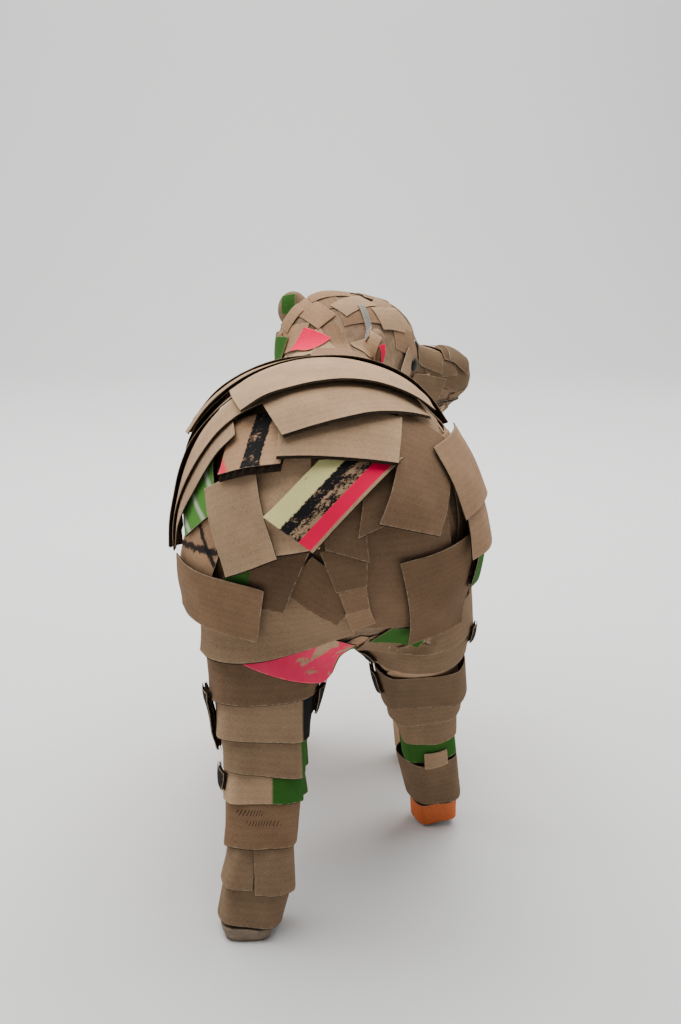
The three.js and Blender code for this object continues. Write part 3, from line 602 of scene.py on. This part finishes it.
def corrugated(name, board, face, flutes_along, pitch, step=3.2 * MM, tone=1.0, proud=0.6 * MM):
    """A board of corrugated card: two liners with a wavy sheet between them.

    The inner liner stands proud of the outer one along the lower edge, as does a wavy sheet that ends there.
    The inner liner, the wavy sheet and the board's underside are near-black as painted shade, so the proud
    edge draws a painted shadow line under the board.
    """
    builder = Builder()
    us = places_along(board.long, step)
    vs = places_along(board.wide, step)
    skin = min(0.3, LINER / board.thick)
    below = -proud / board.wide

    def pressed(u, v):
        return CRUSH * np.exp(-edge_distance(u, v, board) / CRUSH_REACH)

    def top(u, v):
        return 1 - pressed(u, v)

    add_sheet(builder, board, us, vs, lambda u, v: top(u, v) - skin, top, (2, 0, 1), tone)
    # the inner liner, near-black as painted shade, reaches past the lower edge to draw a painted shadow line
    low_vs = np.append(below, vs[1:])
    add_sheet(builder, board, us, low_vs, lambda u, v: 0 * u, lambda u, v: skin + 0 * u, (2, 2, 2))
    span, run = (board.wide, board.long) if flutes_along else (board.long, board.wide)
    waves = max(2, round(span / pitch))
    fine = np.linspace(0.004, 0.996, waves * 6 + 1)
    coarse = even_places(run, 6 * MM) * 0.992 + 0.004
    half = 0.45 * skin

    def wave(u, v):
        phase = 2 * np.pi * waves * (v if flutes_along else u)
        return 0.5 - 0.5 * pressed(u, v) + (0.5 - skin - half - 0.5 * pressed(u, v)) * np.sin(phase)

    def wave_top(u, v):
        return wave(u, v) + half

    grid = (coarse, fine) if flutes_along else (fine, np.append(0.7 * below, coarse[1:]))
    add_sheet(builder, board, *grid, lambda u, v: wave(u, v) - half, wave_top, (2, 2, 2))
    return builder.make(name, [face, MATERIALS["cut_edge"], MATERIALS["hollow"]])


# ---- reading the CAD boards
def board_from(node, heading, thickest, lifts):
    """The bent board that a CAD slab is, with u running the way that `heading` points."""
    form = welded(frame["nodes"][node].data)
    thick = min(edge.calc_length() for edge in form.edges)
    posts = {edge for edge in form.edges if edge.calc_length() < thick * 1.15}
    across = {}
    for post in posts:
        a, b = post.verts
        across[a], across[b] = b, a
    broad = patches_of([face for face in form.faces if not posts & set(face.edges)])
    inner_faces, outer_faces = sorted(sorted(broad, key=len)[-2:], key=height_on_form)
    outer = grid_of(outer_faces, across, heading)
    inner = grid_of(inner_faces, across, heading, start=across[outer[0][0]], second=across[outer[0][1]])
    inner, outer = (np.array([[vert.co[:] for vert in row] for row in grid]) for grid in (inner, outer))
    form.free()
    return Board(inner, outer, thickest, lifts)


def height_on_form(faces):
    """How far some faces are from the form."""
    return sum(FORM_TREE.find_nearest(vert.co)[3] for face in faces for vert in face.verts) / len(faces)


def patches_of(faces):
    """The faces, in groups that hang together."""
    allowed, seen, groups = set(faces), set(), []
    for first in faces:
        if first in seen:
            continue
        group, queue = [], [first]
        seen.add(first)
        while queue:
            face = queue.pop()
            group.append(face)
            for other in (other for edge in face.edges for other in edge.link_faces):
                if other in allowed and other not in seen:
                    seen.add(other)
                    queue.append(other)
        groups.append(group)
    return groups


def border_of(faces):
    """The vertices round the border of a patch, in order."""
    links = {}
    for face in faces:
        for edge in face.edges:
            links.setdefault(edge, []).append(face)
    follow = {}
    for edge, beside in links.items():
        if len(beside) == 1:
            loop = next(loop for loop in beside[0].loops if loop.edge == edge)
            follow[loop.vert] = loop.link_loop_next.vert
    ring = [next(iter(follow))]
    while follow[ring[-1]] is not ring[0]:
        ring.append(follow[ring[-1]])
    return ring


def sides_of(ring, posts):
    """A border split at its four sharpest corners."""
    count = len(ring)

    def turning(k):
        before, here, after = ring[k - 1].co, ring[k].co, ring[(k + 1) % count].co
        up = (here - posts[ring[k]].co).normalized()
        a, b = here - before, after - here
        a, b = (a - up * a.dot(up)).normalized(), (b - up * b.dot(up)).normalized()
        return a.angle(b, 0.0)

    corners = sorted(sorted(range(count), key=turning)[-4:])
    spans = [(here, (there - here) % count) for here, there in zip(corners, corners[1:] + corners[:1])]
    return [[ring[(here + i) % count] for i in range(span + 1)] for here, span in spans]


def next_corner(a, b, d, inside, used):
    """The corner opposite a in the square with corners a, b and d, and the square's two triangles."""

    def free(vert, *others):
        around = (face for face in vert.link_faces if face in inside and face not in used)
        return (face for face in around if all(other in face.verts for other in others))

    for face in free(a, d):
        third = next(vert for vert in face.verts if vert not in (a, d))
        if third == b:
            pair = next(other for other in free(b, d) if other != face)
            return next(vert for vert in pair.verts if vert not in (b, d)), (face, pair)
        pair = next((other for other in free(a, b, third) if other != face), None)
        if pair:
            return third, (face, pair)


def grid_of(faces, posts, heading, start=None, second=None):
    """The rows of vertices of a patch of triangles that was cut from a grid."""
    sides = sides_of(border_of(faces), posts)
    if start is None:
        row = max(sides, key=lambda side: (side[-1].co - side[0].co).normalized().dot(Vector(heading)))
        left = sides[(sides.index(row) - 1) % 4][::-1]
    else:
        at_start = [side for side in sides if start in (side[0], side[-1])]
        from_start = [side if side[0] == start else side[::-1] for side in at_start]
        row = next(side for side in from_start if second in side)
        left = next(side for side in from_start if second not in side)
    rows, inside, used = [row], set(faces), set()
    for corner in left[1:]:
        above = [corner]
        for a, b in zip(row, row[1:]):
            corner, pair = next_corner(a, b, above[-1], inside, used)
            used.update(pair)
            above.append(corner)
        rows.append(above)
        row = above
    return rows


# ---- the boards of the CAD model
SIDEWAYS = (1, 0, 0.05)
BACKWARDS = (0, -1, 0.05)
FORWARDS = (0, 1, 0.05)

THICK = dict(pitch=6.5, thickest=4)

# the boards that aren't plain: face is the material, tone how light it is, heading the way it is read,
# pitch how far apart its flutes are, thickest the most that it is thick, lifts how far its edges curl up and
# proud how far the inner liner, near-black as painted shade, stands out below it as a painted shadow line,
# the lengths in millimetres. The low tones of the boards at the rump, tail, seat, haunches and hind legs are
# partly their own darker brown and partly painted shade
FACES = {
    "back_band_3": dict(lifts=dict(low=0.8), proud=2.0),
    "back_band_2": dict(lifts=dict(low=1.0), proud=2.2),
    "back_band_1": dict(lifts=dict(low=0.8), proud=2.0),
    "rump_striped": dict(face="striped", heading=(0.7, 0, 0.7), lifts=dict(start=2, low=1)),
    "rump_brushed": dict(face="brushed", flutes_along=False, lifts=dict(low=2), proud=5, **THICK),
    "rump_middle": dict(tone=1.50, proud=1.2),
    "rump_plain": dict(tone=0.86, lifts=dict(low=1.5, end=2), proud=1.0),
    "rump_right": dict(face="rich", tone=0.45, lifts=dict(start=2)),
    "rump_shaded": dict(face="rich", tone=0.34),
    "flank_green": dict(face="stroked"),
    "flank_marked": dict(face="lined", tone=0.85),
    "flank_right_high": dict(face="rich", tone=0.72),
    "flank_right_low": dict(face="rich", tone=0.74),
    "flank_right_green": dict(face="green", heading=FORWARDS, **THICK),
    "thigh_pink": dict(face="blotched"),
    "thigh_plate": dict(tone=0.63, lifts=dict(low=1.2), proud=1.0),
    "haunch_left": dict(face="reddish", tone=0.52, lifts=dict(low=1.5, end=1.5)),
    "haunch_right": dict(face="reddish", tone=0.36, lifts=dict(low=1.5, start=1.5)),
    "seat_right": dict(face="rich", tone=0.39),
    "seat_green": dict(face="green", tone=0.60),
    "seat_dark": dict(face="fading", tone=0.42),
    "seat_centre": dict(face="dark", tone=0.52),
    "tail_top": dict(face="rich", tone=0.36),
    "tail_middle": dict(face="rich", tone=0.36),
    "tail_low": dict(face="rich", tone=0.52),
    "tail_tip": dict(face="rich", tone=0.55),
    "left_hind_band_3": dict(face="marked", tone=0.50),
    "left_hind_band_4": dict(face="half_green", tone=1.00),
    "left_hind_band_5": dict(face="green_end", tone=0.60),
    "left_hind_band_6": dict(face="half_black", tone=0.74, lifts=dict(low=0.8)),
    "left_hind_band_7": dict(face="rich", tone=0.36, lifts=dict(low=0.8)),
    "right_hind_band_1": dict(face="orange", tone=1.15),
    "right_hind_band_3": dict(face="green", tone=0.30),
    "left_hind_band_1": dict(tone=0.47),
    "left_hind_band_2_outer": dict(tone=0.53),
    "left_hind_band_2_inner": dict(tone=0.51),
    "right_hind_band_2": dict(tone=0.44),
    "right_hind_band_4": dict(tone=0.55),
    "right_hind_band_5": dict(tone=0.49),
    "right_hind_band_6": dict(tone=0.40),
}
SOLES = [f"{side}_{end}_sole" for end in ("hind", "fore") for side in ("left", "right")]
SHARP = math.radians(50)  # an edge of a sole that turns more than this keeps part of its sharpness
# the gap under a board is real, and the board's underside in it is near-black as painted shade
THICKEST = 1.25  # most boards are drawn no thicker than this, and the gap under them shows dark


def heading_of(node):
    """The way that a board's length is read."""
    if "flank_left" in node or node == "shoulder_left" or node.endswith("outer"):
        return BACKWARDS
    if "right" in node and ("flank" in node or "side" in node or "shoulder" in node):
        return FORWARDS
    return (-1, 0, 0) if "fore" in node else SIDEWAYS


def dress_boards():
    """Every board of the CAD model as corrugated card."""
    pieces = []
    for node in sorted(frame["nodes"]):
        if node == FORM or node in SOLES:
            continue
        style = FACES.get(node, {})
        on_leg = "band" in node and "back" not in node
        heading = style.get("heading", heading_of(node))
        board = board_from(node, heading, style.get("thickest", THICKEST) * MM, style.get("lifts", {}))
        face = MATERIALS[style.get("face", "kraft")]
        piece = corrugated(
            f"{node}_board",
            board,
            face,
            flutes_along=style.get("flutes_along", not on_leg),
            pitch=style.get("pitch", 3.6 if on_leg else 5.2) * MM,
            step=(2.6 if on_leg else 3.4) * MM,
            tone=style.get("tone", TONES.uniform(0.9, 1.1)),
            proud=style.get("proud", 0.6) * MM,
        )
        declare(piece, slot_of(node), node)
        pieces.append(piece)
    return pieces


# ---- scraps on what the boards leave bare
GAP = 0.12 * MM
PAPER = 0.6 * MM
REACH = 40 * MM
FAR = 800 * MM
COVER = 7 * MM  # a board further off than this leaves the form in sight
NEAR = 5 * MM
PATCH_STEP = 4 * MM
LEAST = 0.15 * MM  # the thinnest that a scrap is pressed under a board


def tree_over(pieces):
    """One search tree over several pieces."""
    points, faces = [], []
    for piece in pieces:
        start = len(points)
        points += [vertex.co.copy() for vertex in piece.data.vertices]
        faces += [[start + i for i in face.vertices] for face in piece.data.polygons]
    return BVHTree.FromPolygons(points, faces)


def neighbours(values):
    """The values of each grid point and of the eight around it."""
    rows, columns = values.shape
    padded = np.pad(values, 1, mode="edge")
    return np.stack([padded[j : j + rows, i : i + columns] for j in range(3) for i in range(3)])


class Cladding:
    """Lays scraps on the form, one after another: each hugs what lies under it and tucks in under boards."""

    def __init__(self, skin, boards):
        graph = bpy.context.evaluated_depsgraph_get()
        self.skin = BVHTree.FromObject(skin, graph)
        self.boards = tree_over(boards)
        self.laid = []

    def settle(self, place):
        place, normal, _, _ = self.skin.find_nearest(place)
        return place, normal

    def walk(self, place, heading, distance, steps):
        """The points, normals and headings of a walk over the form."""
        trail = []
        for _ in range(steps):
            place, normal = self.settle(place + heading * (distance / steps))
            heading = (heading - normal * heading.dot(normal)).normalized()
            trail.append((place, normal, heading))
        return trail

    def grid(self, middle, along, long, wide):
        """Where each point of a scrap's grid stands on the form, and which way is up there."""
        place, normal = self.settle(middle)
        along = (along - normal * along.dot(normal)).normalized()
        columns, rows = (max(2, round(size / 2 / PATCH_STEP)) for size in (long, wide))
        back = self.walk(place, -along, long / 2, columns)
        spine = [(p, n, -h) for p, n, h in reversed(back)] + [(place, normal, along)]
        spine += self.walk(place, along, long / 2, columns)
        feet, normals = [], []
        for place, normal, heading in spine:
            across = normal.cross(heading)
            line = self.walk(place, -across, wide / 2, rows)[::-1] + [(place, normal, across)]
            line += self.walk(place, across, wide / 2, rows)
            feet.append([p[:] for p, _, _ in line])
            normals.append([n[:] for _, n, _ in line])
        feet, normals = (np.array(grid).transpose(1, 0, 2) for grid in (feet, normals))
        for _ in range(2):
            normals = np.stack([neighbours(normals[..., k]).mean(0) for k in range(3)], -1)
        return feet, normals / np.linalg.norm(normals, axis=-1, keepdims=True)

    def heights(self, feet, normals, over):
        """How high the scraps already reach at each point, and the room there is under the boards."""
        rows, columns, _ = feet.shape
        below, room = np.zeros((rows, columns)), np.full((rows, columns), REACH)
        low, high = feet.min((0, 1)) - NEAR, feet.max((0, 1)) + NEAR
        near = [tree for least, most, tree in self.laid if np.all(least < high) and np.all(most > low)]
        if over:
            near.append(self.boards)
        for j in range(rows):
            for i in range(columns):
                foot, up = Vector(feet[j, i]), Vector(normals[j, i])
                for tree in near:
                    hit = tree.ray_cast(foot + up * REACH, -up, REACH)
                    if hit[0] is not None and not (over and hit[3] < REACH / 4):
                        below[j, i] = max(below[j, i], REACH - hit[3])
                if not over:
                    hit = self.boards.ray_cast(foot + up * LEAST / 5, up, COVER)
                    if hit[0] is not None:
                        room[j, i] = hit[3]
        return below, room

    def lay(self, feet, normals, below, room, thick, curl):
        """The scrap as a board."""
        rows, columns, _ = feet.shape
        need = neighbours(below).max(0) + GAP
        lift = need
        for _ in range(10):
            lift = np.maximum(need, neighbours(lift).mean(0))
        u, v = np.meshgrid(np.linspace(-1, 1, columns), np.linspace(-1, 1, rows))
        lift = lift + curl[0] * np.maximum(0, u) ** 4 + curl[1] * np.maximum(0, -v) ** 4
        room = neighbours(room).min(0)
        top = np.minimum(lift + thick, np.maximum(room - GAP, 2 * LEAST))
        lift = np.clip(lift, LEAST / 5, top - LEAST)
        return Board(feet + normals * lift[..., None], feet + normals * top[..., None])

    def keep(self, position):
        """Remembers a scrap, so that the next ones go over it."""
        low, high = position.reshape(-1, 3).min(0), position.reshape(-1, 3).max(0)
        outer = position[1]
        quads = quads_of(np.arange(outer.size // 3).reshape(outer.shape[:2]))
        self.laid.append((low, high, BVHTree.FromPolygons(outer.reshape(-1, 3).tolist(), quads.tolist())))


def paper(builder, board, slots, tone, step=3.7 * MM):
    """A scrap of plain card, as one closed sheet."""
    us, vs = places_along(board.long, step), places_along(board.wide, step)
    add_sheet(builder, board, us, vs, lambda u, v: 0 * u, lambda u, v: 1 + 0 * u, slots, tone)


UP = Vector((0, 0, 1))


def level_on(normal):
    """The level direction in a surface, to the right of someone facing it."""
    level = UP.cross(normal)
    return level.normalized() if level.length > 0.3 else Vector((1, 0, 0))


# The head's own frame: +Y runs from the skull to the nose, +X to its right and +Z to its crown.
SKULL = Vector((6.2, 149.6, 356)) * MM
HEAD_TURN, HEAD_DIP, HEAD_ROLL = (math.radians(angle) for angle in (-53, -5, 11))
HEAD = Matrix.Translation(SKULL) @ Matrix.Rotation(HEAD_TURN, 4, "Z")
HEAD = HEAD @ Matrix.Rotation(HEAD_DIP, 4, "X") @ Matrix.Rotation(HEAD_ROLL, 4, "Y")
EYES = [Vector((side * 31, 60, -1)) * MM for side in (-1, 1)]
EARS = [Vector((side * 59, -18, 24)) * MM for side in (-1, 1)]
NOSE = Vector((0, 160, -22)) * MM
EYE_RADIUS = 6.2 * MM
MUZZLE_START = 72 * MM
MUZZLE_TONE = 0.45
# places and how near to them no scrap comes
KEEP_CLEAR = [(ear, 18 * MM) for ear in EARS] + [(eye, 7 * MM) for eye in EYES] + [(NOSE, 8 * MM)]

# part of the bear: the sizes of its scraps, from and to, how far from level they may turn, how light
# they are and how much they curl
REGIONS = {
    "head": dict(long=(36, 56), wide=(20, 28), turns=(-30, 30), tone=0.84, curl=0.4),
    "neck": dict(long=(44, 66), wide=(24, 34), turns=(50, 110)),
    "legs": dict(long=(50, 76), wide=(20, 28), turns=(-9, 9)),
    "trunk": dict(long=(56, 88), wide=(30, 44), turns=(60, 120)),
}
TAB_PITCH = 5.5 * MM
TRIES = 1800
LEAST_BARE = 0.27  # a scrap is laid only where more than this share of it covers bare form
FLOOR_CLEARANCE = 5 * MM

BEHIND, LEFT, RIGHT = ((0, -1, 0), (-1, 0, 0), (1, 0, 0))
PINK_FACE = dict(face="pink", slot="pink_board")
GREEN_FACE = dict(face="green", slot="green_board")
GREY_FACE = dict(face="grey", tone=0.6)

# scraps laid one by one: where the middle is in millimetres, in the bear's frame or the head's, the side
# that it is looked for from, its length, its width, how it is turned from level and what it is made of
SCRAPS = {
    # the low tones of the thigh scraps are partly their own darker brown and partly painted shade
    "right_thigh_low": dict(at=(54, 0, 180), side=BEHIND, long=120, wide=34, turn=3, thick=0.9, tone=0.5),
    "right_thigh_high": dict(at=(56, 0, 203), side=BEHIND, long=112, wide=34, turn=8, thick=0.9, tone=0.56),
    # rump_gap_fill is dark card laid into a hole between boards as painted shade
    "rump_gap_fill": dict(at=(-13, 0, 284), side=BEHIND, long=40, wide=30, face="dark", tone=0.6),
    "flank_gap_fill": dict(at=(-98, 0, 268), side=BEHIND, long=42, wide=28, face="reddish", tone=0.8),
    "right_hind_patch": dict(at=(66, 0, 72), side=BEHIND, long=17, wide=14, turn=8, over=True, tone=0.9),
    "neck_pink": dict(at=(-27, 93, 377), long=30, wide=26, turn=-14, tone=0.8, **PINK_FACE),
    "neck_green": dict(at=(-63, 129, 362), long=28, wide=28, turn=8, **GREEN_FACE),
    "ear_left_green": dict(on_head=(-58, -28, 30), long=16, wide=18, turn=10, **GREEN_FACE),
    "ear_right_kraft": dict(on_head=(60, -28, 26), long=24, wide=26, turn=-10),
    "ear_right_pink": dict(on_head=(76, -20, 24), towards=(72, -16, 4), long=18, wide=6.5, **PINK_FACE),
    "ear_right_grey": dict(on_head=(46, -17, 46), towards=(74, -22, 29), long=42, wide=6, **GREY_FACE),
    "nose_cap": dict(on_head=(0, 164, -24), long=26, wide=20, face="dark", slot="dark_board"),
    "mouth_right": dict(on_head=(26, 122, -42), long=44, wide=2.4, face="black", over=True),
    "mouth_left": dict(on_head=(-26, 122, -42), long=44, wide=2.4, face="black", over=True),
}
# small boards with black faces standing at the sides of the legs, their open flutes to the back, near-black
# inside as painted shade: where each is, the side that it is looked for from, its length, its width and its
# thickness
TABS = [
    ("left_hind_tab_outer", (0, -188, 150), LEFT, 44, 24, 4),
    ("left_hind_tab_low", (0, -204, 110), LEFT, 13, 20, 3),
    ("left_hind_tab_inner", (-40, -190, 165), RIGHT, 20, 22, 4),
    ("right_hind_tab_high", (0, -140, 193), RIGHT, 12, 12, 3),
    ("right_hind_tab_inner_high", (40, -140, 181), LEFT, 16, 20, 3),
    ("right_hind_tab_inner_low", (40, -118, 150), LEFT, 18, 20, 3),
]


def region_of(place):
    """The part of the bear that a place on its form belongs to."""
    on_head = HEAD.inverted() @ place
    if on_head.y > -60 * MM and on_head.z > -66 * MM and abs(on_head.x) < 60 * MM:
        return "head"
    if place.z < 190 * MM:
        return "legs"
    return "neck" if place.y > 90 * MM and place.z > 270 * MM else "trunk"


def random_places(skin, count, draw):
    """Places all over a mesh, by area."""
    mesh = skin.data
    mesh.calc_loop_triangles()
    triangles = list(mesh.loop_triangles)
    for triangle in draw.choices(triangles, [t.area for t in triangles], k=count):
        a, b, c = (mesh.vertices[i].co for i in triangle.vertices)
        s, t = draw.random(), draw.random()
        if s + t > 1:
            s, t = 1 - s, 1 - t
        yield a + (b - a) * s + (c - a) * t


def clad_bare_form(cladding, skin):
    """Scraps of thin card wherever the boards leave the form bare, gathered into one piece for each part."""
    draw = random.Random(11)
    inverse = HEAD.inverted()
    builders = {name: Builder() for name in REGIONS}
    for place in random_places(skin, TRIES, draw):
        region = region_of(place)
        sizes = REGIONS[region]
        long, wide = (draw.uniform(*sizes[side]) * MM for side in ("long", "wide"))
        turn = math.radians(draw.uniform(*sizes["turns"]))
        tone, slot = draw.uniform(0.85, 1.1) * sizes.get("tone", 1), draw.choice((0, 0, 0, 1, 2))
        curl = [draw.uniform(0, 0.9) * MM * sizes.get("curl", 1) for _ in range(2)]
        if region == "head" and (inverse @ place).y > MUZZLE_START:
            tone *= MUZZLE_TONE
        place, normal = cladding.settle(place)
        along = Matrix.Rotation(turn, 3, normal) @ level_on(normal)
        feet, normals = cladding.grid(place, along, long, wide)
        steps = np.linalg.norm(np.diff(feet, axis=1), axis=-1)
        if steps.max() > 1.7 * PATCH_STEP or steps.min() < 0.4 * PATCH_STEP:
            continue
        if feet[..., 2].min() < FLOOR_CLEARANCE:
            continue
        on_head = [inverse @ Vector(foot) for foot in feet.reshape(-1, 3)]
        if any((foot - spot).length < reach for spot, reach in KEEP_CLEAR for foot in on_head):
            continue
        below, room = cladding.heights(feet, normals, over=False)
        if np.mean((room >= COVER) & (below == 0)) < LEAST_BARE:
            continue
        board = cladding.lay(feet, normals, below, room, PAPER, curl)
        cladding.keep(np.stack([board.inner, board.outer]))
        paper(builders[region], board, (3, slot, 3), tone)
    for region, builder in builders.items():
        faces = [MATERIALS[name] for name in ("kraft", "dark", "reddish", "cut_edge")]
        declare(builder.make(f"{region}_scraps", faces), "kraft_board")


def lay_scrap(
    cladding, name, long, wide, at=None, on_head=None, side=None, turn=0, towards=None,
    thick=0.6, face="kraft", slot="kraft_board", over=False, curl=0.5, tone=1.0,
):
    """One scrap that is laid where it is wanted, on the form or over the boards."""
    middle = HEAD @ (Vector(on_head) * MM) if on_head else Vector(at) * MM
    if side:
        out = Vector(side)
        start = Vector([m if o == 0 else o * FAR for m, o in zip(middle, out)])
        if out.x:
            start.x = middle.x + out.x * (REACH if at[0] else FAR)
        middle = cladding.skin.ray_cast(start, -out)[0]
    place, normal = cladding.settle(middle)
    along = Matrix.Rotation(math.radians(turn), 3, normal) @ level_on(normal)
    if towards:
        along = HEAD.to_3x3() @ (Vector(towards) - Vector(on_head)).normalized()
    feet, normals = cladding.grid(place, along, long * MM, wide * MM)
    below, room = cladding.heights(feet, normals, over)
    board = cladding.lay(feet, normals, below, room, thick * MM, (curl * MM, curl * MM))
    cladding.keep(np.stack([board.inner, board.outer]))
    if thick > 2:
        piece = corrugated(f"{name}_scrap", board, MATERIALS[face], False, TAB_PITCH, tone=tone)
    else:
        builder = Builder()
        paper(builder, board, (1, 0, 1), tone)
        piece = builder.make(f"{name}_scrap", [MATERIALS[face], MATERIALS["cut_edge"]])
    declare(piece, slot)


def make_eye(cladding, name, spot):
    """A dark bead, flattened and set into the side of the head."""
    place, normal = cladding.settle(HEAD @ spot)
    form = bmesh.new()
    bmesh.ops.create_uvsphere(form, u_segments=32, v_segments=20, radius=EYE_RADIUS)
    for vertex in form.verts:
        x, y, z = vertex.co / EYE_RADIUS
        pinch = 1 - 0.35 * abs(x) ** 3
        vertex.co = Vector((x * 0.82, y * pinch, z * 0.44 + 0.08 * (1 - x * x))) * EYE_RADIUS
    turn = normal.to_track_quat("Z", "Y").to_matrix().to_4x4()
    bmesh.ops.transform(form, matrix=Matrix.Translation(place + normal * 0.9 * MM) @ turn, verts=form.verts)
    mesh = bpy.data.meshes.new(name)
    form.to_mesh(mesh)
    form.free()
    mesh.materials.append(MATERIALS["eye"])
    mesh.shade_smooth()
    declare(add_object(name, mesh), "dark_board")


# ---- making everything
FORM_TREE = BVHTree.FromBMesh(welded(frame["nodes"][FORM].data))
BOARDS = {
    "kraft": [KRAFT],
    "dark": [DARK_KRAFT],
    "reddish": [RED_KRAFT],
    "rich": [RICH_KRAFT],
    "grey": [GREY],
    "green": [KRAFT, partial(painted, GREEN)],
    "pink": [KRAFT, partial(painted, PINK)],
    "orange": [KRAFT, partial(painted, ORANGE)],
    "black": [KRAFT, partial(painted, BLACK)],
    "half_green": [KRAFT, partial(painted_from, 0.565, GREEN)],
    "green_end": [KRAFT, partial(painted_from, 0.685, GREEN)],
    "half_black": [KRAFT, partial(painted_from, 0.693, BLACK)],
    "striped": [KRAFT, striped, 0.02],
    "brushed": [RED_KRAFT, brushed],
    "stroked": [KRAFT, stroked],
    "lined": [RED_KRAFT, lined],
    "blotched": [KRAFT, blotched],
    "marked": [RED_KRAFT, marked],
    "fading": [DARK_KRAFT, fading],
}
MATERIALS = {
    **{name: board_material(f"{name}_board", *face) for name, face in BOARDS.items()},
    "cut_edge": grained("cut_edge", CUT_KRAFT, 900.0, (0.75, 1.2), specular=0.1),
    "hollow": grained("board_inside_painted_shade", INSIDE_SHADE, 700.0, (0.7, 1.3), specular=0.05),
    "eye": grained("eye", EYE_BLACK, 400.0, (0.7, 1.3), specular=0.25, gloss=(0.28, 0.5)),
    "pulp": pulp("papier_mache", PULP),
    "sole": pulp("sole_board", SOLE_PULP),
}

make_camera()
make_light()
make_floor()
skin = dress_smoothly("papier_mache_skin", FORM, "pulp", 1)
for node in SOLES:
    dress_smoothly(f"{node}_pad", node, "sole", 2, crease=0.75)
boards = dress_boards()
cladding = Cladding(skin, boards)
clad_bare_form(cladding, skin)
for name, scrap in SCRAPS.items():
    lay_scrap(cladding, name, **scrap)
for name, at, side, long, wide, thick in TABS:
    black = dict(face="black", slot="dark_board", over=True, curl=0)
    lay_scrap(cladding, name, long, wide, at, side=side, turn=90, thick=thick, **black)
for side, spot in zip(("left", "right"), EYES):
    make_eye(cladding, f"eye_{side}", spot)
